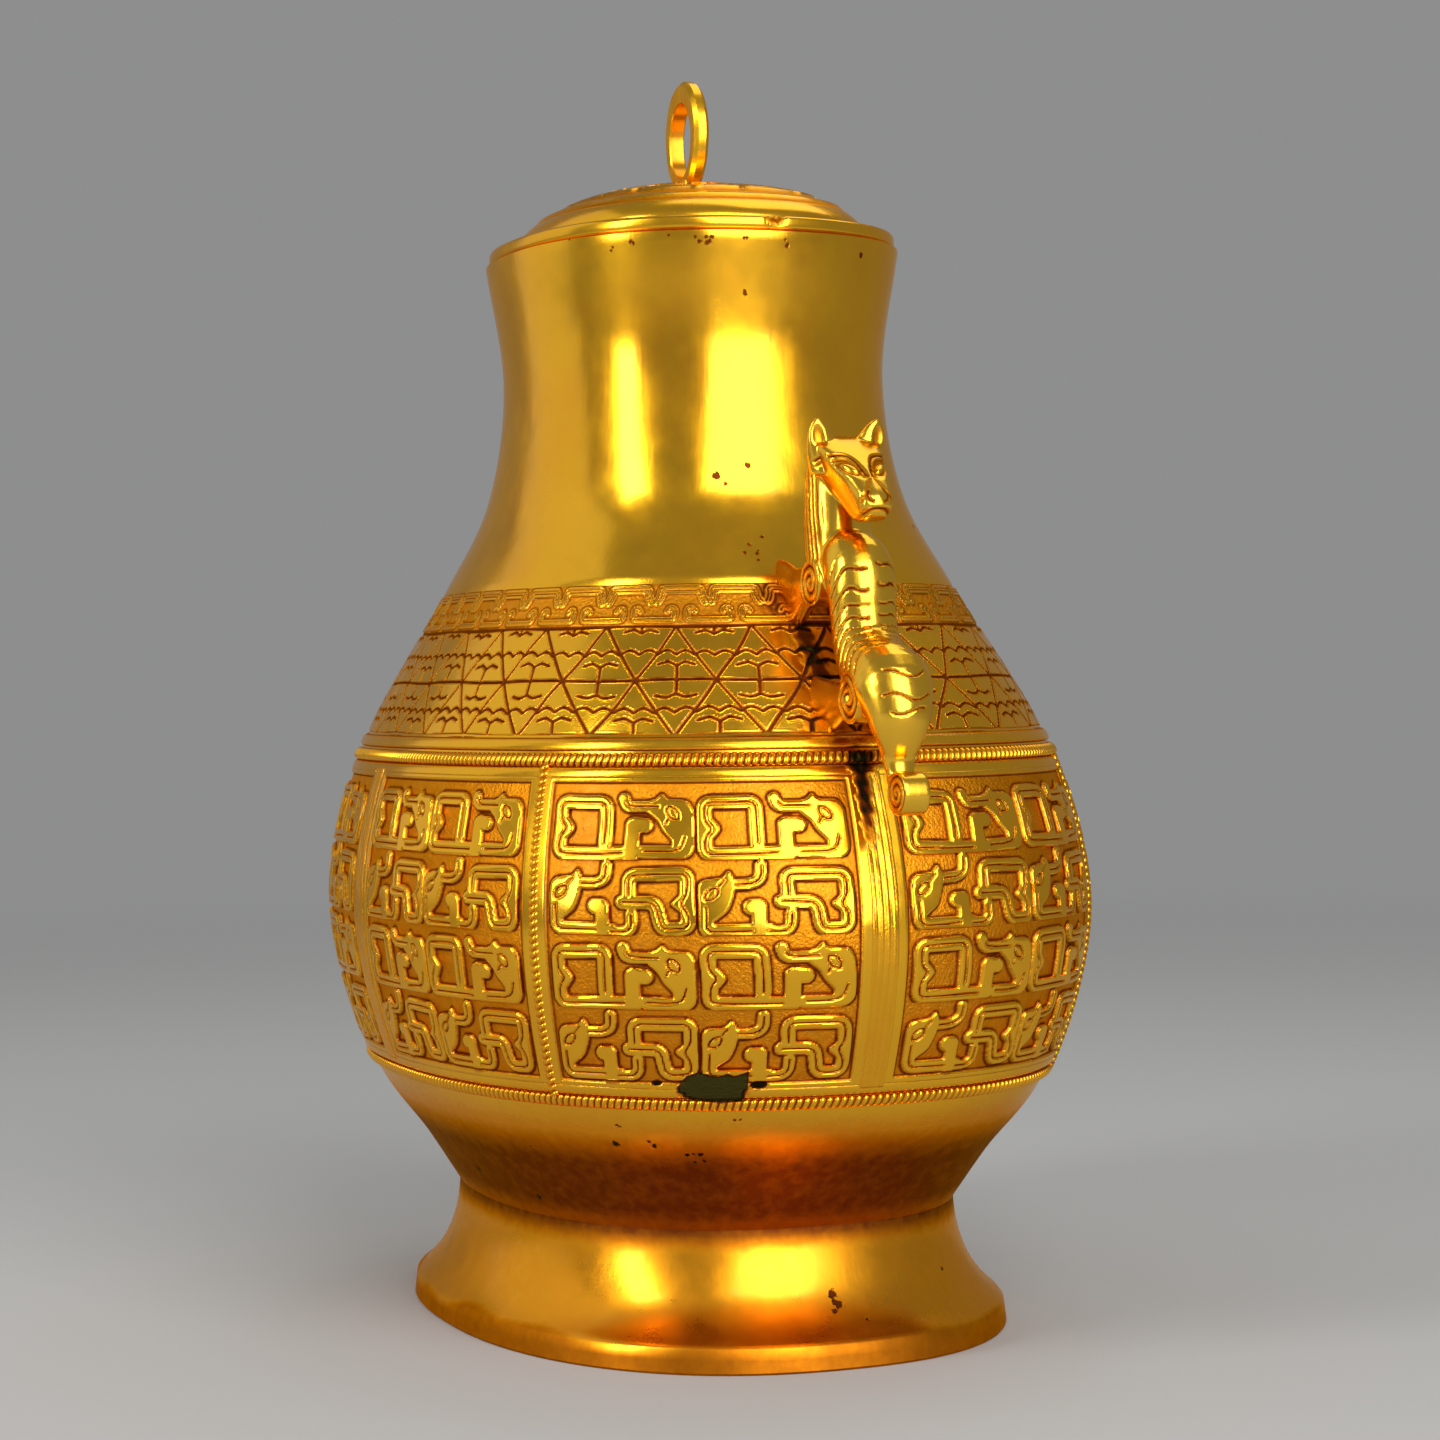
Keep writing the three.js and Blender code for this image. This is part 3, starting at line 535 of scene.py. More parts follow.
def panel_relief(width, tall, rope_first, seed):
    """Rise and tone over one panel. rope_first says that a rope, not a strap, is at the low share."""
    left = FRAME_ROPE if rope_first else FRAME_STRAP
    right = FRAME_STRAP if rope_first else FRAME_ROPE
    inner_width = width - left - right
    inner_height = tall - FRAME_TOP - FRAME_BOTTOM
    scale = inner_width / PANEL_UNITS / MOTIF_WIDTH
    row_height = inner_height / PANEL_ROWS / scale
    # Small bends that make each dragon a little different from the next
    waves = np.random.default_rng(seed).uniform(-1, 1, (PANEL_ROWS, PANEL_UNITS, 8))

    def relief(across, up):
        # Seen from outside, the share grows towards the viewer's right.
        x, y = across * width, up * tall
        px = (x - left) / inner_width * PANEL_UNITS
        py = (tall - FRAME_TOP - y) / inner_height * PANEL_ROWS
        unit = np.clip(np.floor(px), 0, PANEL_UNITS - 1).astype(int)
        row = np.clip(np.floor(py), 0, PANEL_ROWS - 1).astype(int)
        solid = np.full(x.shape, -FAR)
        groove = np.full(x.shape, FAR)
        for row_shift in (0, 1):
            here = np.clip(row + row_shift, 0, PANEL_ROWS - 1)
            bend = waves[here, unit]
            dx = (px - unit) * (MOTIF_WIDTH + 2 * UNIT_GAP / scale) - UNIT_GAP / scale
            dy = MOTIF_HEIGHT - (py - here) * row_height
            dy = (dy - (MOTIF_HEIGHT - row_height) / 2) * MOTIF_HEIGHT / (row_height - ROW_GAP / scale)
            dx = dx + 0.9 * bend[..., 0] * np.sin(dy / 9 + 3 * bend[..., 1]) + 0.5 * bend[..., 2]
            dy = dy + 0.8 * bend[..., 3] * np.sin(dx / 14 + 3 * bend[..., 4]) + 0.5 * bend[..., 5]
            for turn, drawing in enumerate((rising_dragon, falling_dragon)):
                mask = here % 2 == turn
                solid = np.where(mask, np.maximum(solid, drawing.look(drawing.solid, dx, dy)), solid)
                groove = np.where(mask, np.minimum(groove, drawing.look(drawing.groove, dx, dy)), groove)
        solid, groove = solid * scale, groove * scale
        raised = ramp(solid, -0.22, 0.28)
        cut = (1 - ramp(groove, 0.1, 0.5)) * raised
        # Darker at the foot of the raised lines and in their grooves: painted shade; the ground keeps its
        # own orange tone
        ground = GROUND_TONE + 0.75 * hump(solid + 0.3, 0.42)
        tone = np.clip(ground * (1 - raised) + 1.1 * cut, 0, 1)
        # The plain frame round the panel
        edge = np.minimum.reduce([
            x - left + 1.4, width - right + 1.4 - x, tall - FRAME_TOP + 1.3 - y, y - FRAME_BOTTOM + 1.3
        ])
        border = 1 - ramp(edge, -0.3, 0.4)
        rise = np.maximum(RELIEF * raised - LINE_CUT * cut, border * FRAME_RISE)
        # A line of painted shade runs along the inside foot of the frame
        tone = np.maximum(np.minimum(tone, 1 - border), (0.55 + GROUND_TONE) * hump(edge - 0.45, 0.45))
        return rise, tone

    return relief


# Marks of age on the wall: soot and dirt, a bare patch and two holes

# Each stain: share, height, half width and half height in millimetres, and the tone it adds
STAINS = (
    (0.9985, 171.5, 4.6, 4.2, 1.7), (0.9972, 165, 2.5, 10, 1.4), (0.9968, 156, 2.2, 9, 0.7),
    (0.988, 205, 3.6, 7, 1), (0.9905, 196, 3.4, 8, 1), (0.994, 184, 3.6, 7, 0.7),
    (0.984, 181, 6, 4, 0.5), (0.976, 217, 5, 6, 0.5), (0.0, 198, 13, 24, 0.45), (0.5, 198, 13, 24, 0.45),
)
# The patch's outline: millimetres from +X round the wall, and heights
BARE_PATCH = (
    (-53.9, 82.7), (-51.8, 85.9), (-49.4, 86.7), (-46.7, 86.4), (-43.5, 85.6), (-40.9, 86.5), (-39.2, 85.6),
    (-35.5, 87), (-35.2, 82.7), (-35.8, 79), (-41.4, 78.6), (-49.4, 79.4), (-52.1, 80.7),
)
BARE_MIDDLE = (-45, 83)
BARE_REACH = (12, 7)
BARE_RISE = 0.8
BARE_TONE = 3.0
# Each hole: its place as above, half width and half height
HOLES = ((-32.0, 83.4, 2.4, 1.2), (-60.2, 83.9, 1.5, 0.8))
# A hole is only a shallow dent, painted dark as the shade inside it
HOLE_SHADE = 2.0


def aged(share, height, rise, tone):
    """Rise and tone of the wall with its marks."""
    round_wall = round_from(share, 0, height)
    for mark_share, mark_height, wide, tall, depth in STAINS:
        across = round_from(share, mark_share, height)
        away = np.hypot(across / wide, (height - mark_height) / tall)
        away = away + 0.12 * np.sin(across * 2.3 + height) + 0.1 * np.sin(height * 1.7)
        tone = tone + depth * (1 - ramp(away, 0.1, 1.25))
    near = np.abs(round_wall - BARE_MIDDLE[0]) < BARE_REACH[0]
    near &= np.abs(height - BARE_MIDDLE[1]) < BARE_REACH[1]
    if near.any():
        depth = np.full(rise.shape, -FAR)
        depth[near] = depth_in_patch(round_wall[near], height[near], np.array(BARE_PATCH))
        bare = ramp(depth, -0.2, 0.25)
        rise = rise * (1 - bare) + (BARE_RISE + 0.1 * np.sin(round_wall * 1.3)) * bare
        tone = np.maximum(tone * (1 - bare), 0.9 * hump(depth + 0.15, 0.4)) + BARE_TONE * bare
    # Each hole is painted dark, as painted shade inside it
    for middle, mark_height, wide, tall in HOLES:
        away = np.hypot((round_wall - middle) / wide, (height - mark_height) / tall)
        hole = 1 - ramp(away, 0.8, 1.1)
        rise = rise * (1 - hole) - 0.1 * hole
        tone = tone * (1 - hole) + HOLE_SHADE * hole
    return rise, tone


# The friezes on the shoulder

TRIANGLES = 28
TRIANGLE_UNIT = 24.0
BRACKETS = 36
BRACKET_UNIT = 17.5
WAVES_PER_TRIANGLE = 4
WAVE_HEIGHT = 1.5
LINE_HALF = 0.18
LINE_SOFT = 0.56
LINE_DEPTH = 0.5
BURR_RISE = 0.07
FRIEZE_STEP = 0.12


def fork(x, y, up, reach, curl, stem):
    """A forked sprig: a stem and two drooping leaves. up is 1 or -1."""
    tip = y + up * stem
    leaf = [(x, tip), (x + 0.45 * reach, tip + up * curl), (x + reach, tip + up * 0.35 * curl)]
    other = [(2 * x - px, py) for px, py in leaf]
    return [[(x, y), (x, tip)], leaf, other]


def line_cut(away):
    return 1 - ramp(away, LINE_HALF, LINE_SOFT)


def triangle_lines(tall, pitch):
    """Engraved lines of the lower frieze: crossing slants, waves and forked sprigs."""
    middle = climb(FRIEZE_MIDDLE) - climb(FRIEZE_LOW)
    lines = [
        [(0, tall), (0.5 * pitch, middle), (pitch, 0)],
        [(pitch, tall), (0.5 * pitch, middle), (0, 0)],
    ]
    reach = 0.24 * pitch
    for x in (0, pitch):
        lines += fork(x, middle, 1, reach, 1.5, 4.6)
        lines += fork(x, middle, -1, reach, 1.2, 4.6)
    lines += fork(0.5 * pitch, tall, -1, reach, -1.3, 2.6)
    lines += fork(0.5 * pitch, 0, 1, reach, 1.5, 4.4)
    t = np.linspace(0, 1, 49)
    swing = WAVE_HEIGHT * (np.abs(np.sin(math.pi * WAVES_PER_TRIANGLE * t)) - 0.5)
    for level in (0.5 * (middle + tall), 0.46 * middle):
        lines.append(np.stack([t * pitch, level + swing], axis=1))
    for level in (middle, 0.3, tall - 0.2):
        lines.append([(-1, level), (pitch + 1, level)])
    return lines


def both_sides(x, points):
    """A line of points to the left of x, and its mirror image back down the right."""
    return [(x + aside, up) for aside, up in points] + [(x - aside, up) for aside, up in reversed(points)]


def bracket_lines(tall, pitch):
    """Raised hooked bars of the upper frieze: one row opens down, the next opens up and has curled ends."""
    top, low, half = tall - 2.9, 2.1, 0.405 * pitch

    def bar(inset):
        return both_sides(0.5 * pitch, [
            (-half - 0.5 - inset, top - 4.2), (-half + 0.3 - inset, top - 2.6),
            (-half + 0.7 - inset, top + inset),
        ])

    strokes = [(1.5, bar(0))]
    grooves = [bar(-0.5), bar(0.5)]
    for x in (0.0, pitch):
        hook = both_sides(x, [
            (-half + 2.6, low + 2.9), (-half + 1.9, low + 4), (-half + 0.5, low + 4), (-half, low + 2.6),
            (-half + 0.6, low),
        ])
        strokes.append((0.95, hook))
        grooves.append(hook)
    return strokes, grooves


frieze_low = climb(FRIEZE_LOW)
frieze_split = climb(FRIEZE_SPLIT) - frieze_low
frieze_tall = climb(FRIEZE_HIGH) - frieze_low
upper_tall = frieze_tall - frieze_split
triangle_drawing = Drawing(
    TRIANGLE_UNIT, frieze_split, 1, grooves=triangle_lines(frieze_split, TRIANGLE_UNIT), step=FRIEZE_STEP
)
bracket_strokes, bracket_grooves = bracket_lines(upper_tall, BRACKET_UNIT)
bracket_drawing = Drawing(
    BRACKET_UNIT, upper_tall, 1, bracket_strokes, grooves=bracket_grooves, step=FRIEZE_STEP
)


def frieze_relief(share):
    """Rise and tone over a stretch of both friezes."""

    def relief(across, up):
        where = share[0] + across * (share[1] - share[0])
        y = up * frieze_tall
        where = where + 0.0006 * np.sin(where * 61) + 0.0004 * np.sin(where * 143 + y / 5)
        wobble = 0.25 * np.sin(where * 90 + y / 7)
        x = where * TRIANGLES % 1 * TRIANGLE_UNIT
        away = triangle_drawing.look(triangle_drawing.groove, x, y + wobble)
        rise = BURR_RISE * hump(away - 0.75, 0.24) - LINE_DEPTH * line_cut(away)
        # The engraved lines are darkened as painted shade
        tone = 1 - ramp(away, 0.3, 0.85)
        x = where * BRACKETS % 1 * BRACKET_UNIT
        level = y - frieze_split
        solid = bracket_drawing.look(bracket_drawing.solid, x, level)
        groove = bracket_drawing.look(bracket_drawing.groove, x, level)
        raised = ramp(solid, -0.2, 0.25)
        grooved = (1 - ramp(groove, 0.08, 0.36)) * raised
        edge = line_cut(np.minimum(np.abs(frieze_tall - 0.5 - y), np.abs(level - 0.15)))
        # corner darkens the ground at the foot of each bar; with the bars' grooves and the edge lines it is
        # painted shade
        corner = hump(solid + 0.25, 0.35) * (1 - raised)
        upper_rise = 0.5 * raised - 0.3 - 0.35 * grooved - 0.3 * edge
        upper_tone = np.clip(0.45 * (1 - raised) + 0.5 * corner + 0.95 * grooved, 0, 1)
        upper_tone = np.maximum(upper_tone * (1 - ramp(y, frieze_tall - 0.9, frieze_tall)), edge)
        lower = y < frieze_split
        return np.where(lower, rise, upper_rise), np.where(lower, tone, upper_tone)

    return relief


# Finishes

GOLD = (0.95, 0.49, 0.012)
PALE_GOLD = (0.95, 0.54, 0.03)
WARM_GOLD = (0.86, 0.34, 0.01)
DEEP_GOLD = (0.58, 0.18, 0.006)
# CREVICE: dark brown for painted shade in crevices and gaps, and for stains
CREVICE = (0.17, 0.035, 0.005)
BURNT = (0.02, 0.013, 0.006)
BARE = (0.06, 0.052, 0.012)
EDGE_TINT = (1.0, 0.7, 0.2)
# Each colour takes over as tone goes from the first number to the second
TONES = (
    (0.05, 0.35, WARM_GOLD), (0.4, 0.65, DEEP_GOLD), (0.65, 0.95, CREVICE),
    (1.1, 1.6, BURNT), (2.2, 2.7, BARE),
)
CLOUDY_SHARE = 0.55
COAT = 0.38
COAT_ROUGHNESS = 0.14
WORN_ROUGHNESS = 0.13
DARK_ROUGHNESS = 0.3
UNEVEN_DEPTH = 0.0007
PIT_CELLS = 150
PIT_DEPTH = 0.0004
MARK_DEPTH = 0.0008
MARK_TONE = 0.95


class Shading:
    """The nodes of a material or of the world, and the kinds of node that are used here."""

    def __init__(self, owner):
        owner.use_nodes = True
        self.nodes = owner.node_tree.nodes
        self.links = owner.node_tree.links

    def feed(self, socket, value):
        """Links a socket, or sets it where value is a number, a vector or a colour."""
        if isinstance(value, bpy.types.NodeSocket):
            self.links.new(value, socket)
        elif isinstance(value, tuple) and len(socket.default_value) == 4:
            socket.default_value = (*value, 1)
        else:
            socket.default_value = value

    def make(self, kind, output, inputs, **settings):
        """One of the outputs of a new node."""
        node = self.nodes.new(f"ShaderNode{kind}")
        for name, value in settings.items():
            setattr(node, name, value)
        for socket, value in inputs.items():
            self.feed(node.inputs[socket], value)
        return node.outputs[output]

    def noise(self, place, scale, detail=3.0, rough=0.5, squash=None):
        if squash:
            place = self.make("VectorMath", "Vector", {0: place, 1: squash}, operation="MULTIPLY")
        inputs = {"Vector": place, "Scale": scale, "Detail": detail, "Roughness": rough}
        return self.make("TexNoise", "Fac", inputs)

    def spread(self, value, low, high, out_low=0, out_high=1, soft=False):
        """Carries low to high over to out_low to out_high, and holds the ends."""
        inputs = {"Value": value, "From Min": low, "From Max": high, "To Min": out_low, "To Max": out_high}
        kind = "SMOOTHSTEP" if soft else "LINEAR"
        return self.make("MapRange", "Result", inputs, interpolation_type=kind)

    def blend(self, share, first, second):
        return self.make("Mix", 2, {"Factor": share, 6: first, 7: second}, data_type="RGBA")

    def calc(self, operation, first, second):
        return self.make("Math", 0, {0: first, 1: second}, operation=operation)


def cell_pits(tree, place, share):
    """1 in scattered pits: few cells of the wall hold one, and more of them close under the rim."""
    distance = tree.make("TexVoronoi", "Distance", {"Vector": place, "Scale": PIT_CELLS})
    draw = tree.make("SeparateXYZ", "X", {0: distance.node.outputs["Color"]})
    height = tree.make("SeparateXYZ", "Z", {0: place})
    chance = tree.spread(height, (RIM - 12) * MM, (RIM - 2) * MM, share, 4 * share)
    chosen = tree.calc("LESS_THAN", draw, chance)
    reach = tree.spread(draw.node.outputs["Y"], 0, 1, 0.08, 0.24)
    ragged = tree.spread(tree.noise(place, 1500, 2), 0.3, 0.7, -0.05, 0.05)
    return tree.calc("MULTIPLY", chosen, tree.calc("LESS_THAN", tree.calc("ADD", distance, ragged), reach))


def marked_pits(tree, place, marks):
    """1 in the pits at the given places."""
    ragged = tree.noise(place, 900, 2)
    pitted = 0.0
    for centre, radius in marks:
        gap = tree.make("VectorMath", "Value", {0: place, 1: centre}, operation="DISTANCE")
        uneven = tree.calc("MULTIPLY", gap, tree.spread(ragged, 0.3, 0.7, 0.6, 1.5))
        pitted = tree.calc("MAXIMUM", tree.spread(uneven, 0.6 * radius, radius, 1, 0), pitted)
    return pitted


def finish(name, tint, rough, grain=0.0, scratches=0.00003, pits=0.0, marks=()):
    """Gilding: a metal that warms in patches and, with tone, in its recesses. It is dark at tone 1, where
    tone also carries painted shade in crevices, gaps and on the lower belly, and burnt at 2, where the
    holes' painted shade lies too; at 3 the bare bronze shows. Each mark is a pit: its place and its radius."""
    material = bpy.data.materials.new(name)
    tree = Shading(material)
    shader = tree.nodes["Principled BSDF"].inputs
    place = tree.make("TexCoord", "Object", {})
    tone = tree.make("Attribute", "Fac", {}, attribute_name="tone")
    tone = tree.calc("ADD", tone, tree.spread(tree.noise(place, 260, 4, 0.6), 0.3, 0.7, -0.05, 0.05))
    bumps = []
    if pits:
        depth = cell_pits(tree, place, pits)
        tone = tree.calc("ADD", tone, depth)
        bumps.append((tree.calc("MULTIPLY", depth, -1.0), PIT_DEPTH))
    if marks:
        depth = marked_pits(tree, place, marks)
        tone = tree.calc("ADD", tone, tree.calc("MULTIPLY", depth, MARK_TONE))
        bumps.append((tree.calc("MULTIPLY", depth, -1.0), MARK_DEPTH))
    cloudy = tuple((1 - CLOUDY_SHARE) * a + CLOUDY_SHARE * b for a, b in zip(tint, WARM_GOLD))
    colour = tree.blend(tree.spread(tree.noise(place, 20, 5, 0.6), 0.45, 0.75), tint, cloudy)
    for low, high, shade in TONES:
        colour = tree.blend(tree.spread(tone, low, high), colour, shade)
    worn = tree.spread(tree.noise(place, 45, 5, 0.65), 0.3, 0.75, rough, rough + WORN_ROUGHNESS)
    bumps += [
        (tree.noise(place, 30, 2), UNEVEN_DEPTH),
        (tree.noise(place, 120, 4, 0.7, (1, 1, 0.12)), scratches),
        (tree.noise(place, 700, 2, 0.5, (1, 1, 0.06)), scratches * 0.6),
    ]
    if grain:
        ground = tree.calc("MULTIPLY", tree.noise(place, 1100, 3, 0.65), tree.spread(tone, 0.1, 0.5))
        bumps.append((ground, grain))
    normal = None
    for height, distance in bumps:
        inputs = {"Distance": distance, "Height": height}
        if normal:
            inputs["Normal"] = normal
        normal = tree.make("Bump", "Normal", inputs)
    for socket, value in {
        "Metallic": 1.0,
        "Specular Tint": EDGE_TINT,
        "Coat Roughness": COAT_ROUGHNESS,
        "Base Color": colour,
        "Roughness": tree.calc("ADD", worn, tree.spread(tone, 0.1, 0.9, 0, DARK_ROUGHNESS)),
        "Coat Weight": tree.spread(tone, 0.1, 0.6, COAT, 0.0),
        "Normal": normal,
    }.items():
        tree.feed(shader[socket], value)
    return material


# The foot's outside, from its edge up: half length, half width and height

FLARE_STEPS = 24


def foot_outside():
    top_length, top_width = JAR_STATIONS[0][1:]
    edge_length, edge_width = FOOT_LENGTH - FOOT_EDGE_TAPER, FOOT_WIDTH - FOOT_EDGE_TAPER
    bend = np.linspace(0, 1, FLARE_STEPS)[:, None]
    start = np.array([[edge_length, edge_width, FOOT_EDGE]])
    knee = np.array([[top_length + FLARE_SPREAD, top_width + FLARE_SPREAD, FLARE_HEIGHT]])
    end = np.array([[top_length, top_width, FOOT_TOP]])
    flare = (1 - bend) ** 2 * start + 2 * bend * (1 - bend) * knee + bend**2 * end
    edge = [
        (FOOT_LENGTH - 0.6, FOOT_WIDTH - 0.6, 0),
        (FOOT_LENGTH, FOOT_WIDTH, 0.7),
        (FOOT_LENGTH - 0.4, FOOT_WIDTH - 0.4, 4),
        (edge_length + 0.05, edge_width + 0.05, FOOT_EDGE - 0.5),
        (edge_length - 0.45, edge_width - 0.45, FOOT_EDGE + 0.15),
    ]
    return np.vstack([edge, flare[1:]])


FOOT_OUTSIDE = foot_outside()


def outside_place(share, height):
    """A place on the outside of the body or the foot, in metres."""
    if height > FOOT_TOP:
        return wall_points(share, height) * MM
    length, width = (np.interp(height, FOOT_OUTSIDE[:, 2], FOOT_OUTSIDE[:, k]) for k in (0, 1))
    return oval_place(np.array(share), length, width, height) * MM


# Groups of casting pits: share round the wall, height, how many, reach round and up, largest radius
CASTING_PITS = (
    (0.882, 320, 3, 0.002, 0.6, 0.6), (0.897, 321, 2, 0.002, 0.6, 0.8), (0.923, 323, 2, 0.002, 0.3, 0.6),
    (0.946, 321.4, 6, 0.009, 0.9, 1), (0.976, 322, 3, 0.002, 0.5, 0.6), (0.005, 320.5, 2, 0.001, 1.2, 0.9),
    (0.9765, 306, 2, 0.0002, 0.6, 0.9), (0.971, 231, 6, 0.008, 3.8, 0.8), (0.914, 65, 3, 0.003, 0.9, 0.9),
    (0.934, 61, 5, 0.005, 1.4, 0.9), (0.951, 73, 2, 0.003, 0.4, 0.8), (0.848, 61, 1, 0, 0, 0.6),
    (0.002, 17, 4, 0.002, 2.4, 1.5), (0.0152, 12, 2, 0.0002, 0.6, 0.7),
)
PIT_SEED = 5
pit_draw = np.random.default_rng(PIT_SEED)
pit_places = []
for share, height, count, reach_round, reach_up, radius in CASTING_PITS:
    for _ in range(count):
        pit_share = share + reach_round * pit_draw.uniform(-1, 1)
        pit_height = height + reach_up * pit_draw.uniform(-1, 1)
        pit_radius = radius * pit_draw.uniform(0.55, 1) * MM
        pit_places.append((tuple(outside_place(pit_share % 1, pit_height)), pit_radius))

plain_gilt = finish("polished_gilding", GOLD, 0.16, pits=0.035, marks=pit_places)
relief_gilt = finish("chased_gilding", GOLD, 0.17, 0.00035, 0.00001)
rope_gilt = finish("rope_gilding", GOLD, 0.18)
tiger_gilt = finish("tiger_gilding", PALE_GOLD, 0.16)


# The body and the foot

FRIEZE_BED = 1.2
BODY_SIDES = 256
CLIMB_ROWS = 130
INSIDE_ROWS = 50
# The lower belly is darkened as painted shade, the reflection of a dark floor, with some staining; a painted
# reflected glow lightens the wall just above the foot
BELLY_SHADE_AND_STAIN = 0.93
BELLY_SHADE_FROM, BELLY_SHADE_TO = 56, 78
JOIN_PAINTED_GLOW = 0.2
FOOT_DARK = 0.34
# Painted shade at the top of the foot, under the belly
FOOT_JOIN_SHADE = 0.6
FOOT_EDGE_DARK = 0.36


def under_frieze(height):
    """1 where the wall is sunk to take the friezes, and 0 elsewhere."""
    above = ramp(height, FRIEZE_LOW + 0.3, FRIEZE_LOW + 2.4)
    return above * (1 - ramp(height, FRIEZE_HIGH - 2.4, FRIEZE_HIGH - 0.3))


def body_path():
    """Heights and rises up the outside, over the rim, and down the inside to the floor."""
    lip = WALL / 4
    heights = height_at(np.linspace(0, climb(RIM) - lip, CLIMB_ROWS))[1:]
    path = [(FOOT_TOP, 0.0)]
    path += [(height, -FRIEZE_BED * under_frieze(height)) for height in heights]
    path += [(RIM - 0.35 * lip, -0.1), (RIM, -lip), (RIM, lip - WALL), (RIM - 0.35 * lip, 0.1 - WALL)]
    path += [(height, -WALL) for height in np.linspace(RIM - lip, FOOT_TOP + FLOOR, INSIDE_ROWS)]
    return path


BODY_PATH = body_path()
body_mesh = tube_mesh(
    "vessel_wall", BODY_SIDES, len(BODY_PATH) - 1,
    lambda around, along: wall_points(around, *walk(BODY_PATH, along)),
)
body_height = vertex_array(body_mesh)[:, 2] / MM
# Painted shade on the lower belly, with some staining, and a painted glow just above the foot
body_shade_and_glow = BELLY_SHADE_AND_STAIN * (1 - ramp(body_height, BELLY_SHADE_FROM, BELLY_SHADE_TO))
body_shade_and_glow -= JOIN_PAINTED_GLOW * (1 - ramp(body_height, FOOT_TOP, FOOT_TOP + 6))
add_values(body_mesh, "tone", body_shade_and_glow)
piece("vessel_wall", body_mesh, plain_gilt, stands_for=("vessel_body",))

# Up the edge and flare on the outside, and back down the same on the inside
FOOT_INSIDE = FOOT_OUTSIDE[::-1] - np.array([FOOT_WALL, FOOT_WALL, 0])
FOOT_PATH = np.vstack([FOOT_OUTSIDE, FOOT_INSIDE, FOOT_OUTSIDE[:1]])
foot_mesh = tube_mesh(
    "foot_flare", BODY_SIDES, len(FOOT_PATH) - 1,
    lambda around, along: oval_place(around, *walk(FOOT_PATH, along)), closed=True,
)
foot_points = vertex_array(foot_mesh) / MM
foot_height = foot_points[:, 2]
foot_turn = np.arctan2(foot_points[:, 1], foot_points[:, 0])
# The darker band at the bottom edge ends in a wavy line
band_top = FOOT_EDGE + 1.2 * np.sin(5 * foot_turn + 1) + 0.8 * np.sin(13 * foot_turn)
# Darker towards the top of the foot, under the belly's overhang: painted shade
foot_tone = FOOT_DARK + FOOT_JOIN_SHADE * ramp(foot_height, FOOT_TOP - 8, FOOT_TOP)
foot_tone += FOOT_EDGE_DARK * (1 - ramp(foot_height, band_top - 1, band_top + 1.5))
add_values(foot_mesh, "tone", foot_tone)
piece("foot_flare", foot_mesh, plain_gilt, stands_for=("foot_ring",))


# The relief on the wall

PANEL_CELL = 0.445
FRIEZE_CELL = 0.425
STRAP_CELL = 0.25
FRIEZE_BASE = 0.12
QUADRANTS = ("back_right", "back_left", "front_left", "front_right")
BELLY_SPAN = perimeter(JAR_STATIONS[3][0])
SHARP = 70


def relief_piece(name, mesh, *stands_for):
    piece(name, mesh, relief_gilt, stands_for=stands_for, sharp=SHARP)


panel_tall = climb(PANEL_TOP) - climb(PANEL_BOTTOM)
for number in range(8):
    name = f"dragon_panel_{QUADRANTS[number // 2]}_{'ab'[number % 2]}"
    relief = panel_relief(BELLY_SPAN / 8, panel_tall, number % 2 == 1, 40 + number)
    shares = (number / 8, (number + 1) / 8)
    relief_piece(name, wall_slab(name, shares, (PANEL_BOTTOM, PANEL_TOP), PANEL_CELL, relief), "vessel_body")

for number, quadrant in enumerate(QUADRANTS):
    name = f"shoulder_frieze_{quadrant}"
    shares = (number / 4, (number + 1) / 4)
    heights = (FRIEZE_LOW, FRIEZE_HIGH)
    relief_piece(name, wall_slab(name, shares, heights, FRIEZE_CELL, frieze_relief(shares), FRIEZE_BASE))


# Ropes, bands and straps

ROPE_SIDES = 14
ROPE_SLANT = 0.22
UPRIGHT_SLANT = 1.8
# Painted shade in the gaps between a rope's strands
GAP_SHADE = 0.95
BAND_RISE = 1.0
BAND_SOFT = 0.8
BAND_CELL = 1.6
BAND_ROW_CELL = 0.6
STRAP_ROW_CELL = 0.8
STRAP_TONE = 0.16


def strand_rise(along, side):
    """Rise of a twisted rope over its plain half round: along in millimetres, side from -1 to 1."""
    phase = along / STRAND_PITCH + ROPE_SLANT * side
    return ramp(np.abs(np.sin(math.pi * phase)), 0.12, 0.8)


def rope_section(angle, swell):
    """Offset across and outwards at an angle round the rope."""
    out = np.sin(angle)
    across = -ROPE_WIDTH / 2 * np.cos(angle) * (0.84 + 0.16 * swell)
    rise = np.where(out > 0, ROPE_RISE * np.abs(out) ** 0.75 * (0.5 + 0.5 * swell), SKIRT * out)
    return across, rise


def rope_piece(node, steps, length, slant, place, share_at, closed):
    """A rope whose gaps between the strands are darkened as painted shade. place puts along, across and rise
    on the wall.
    """
    name = f"{node}_twist"
    mesh = sheet_mesh(name, ROPE_SIDES, steps, around=True, along=closed, caps=not closed)
    around, along = vertex_array(mesh)[:, :2].T
    angle = 2 * math.pi * around
    swell = strand_rise(length(along), slant * np.cos(angle))
    points = place(along, *rope_section(angle, swell))
    store(mesh, points)
    rise, tone = aged(share_at(along), points[:, 2], np.zeros(len(points)), GAP_SHADE * (1 - swell))
    add_values(mesh, "tone", tone)
    piece(name, right_way_out(mesh), rope_gilt, stands_for=(node,), sharp=SHARP)


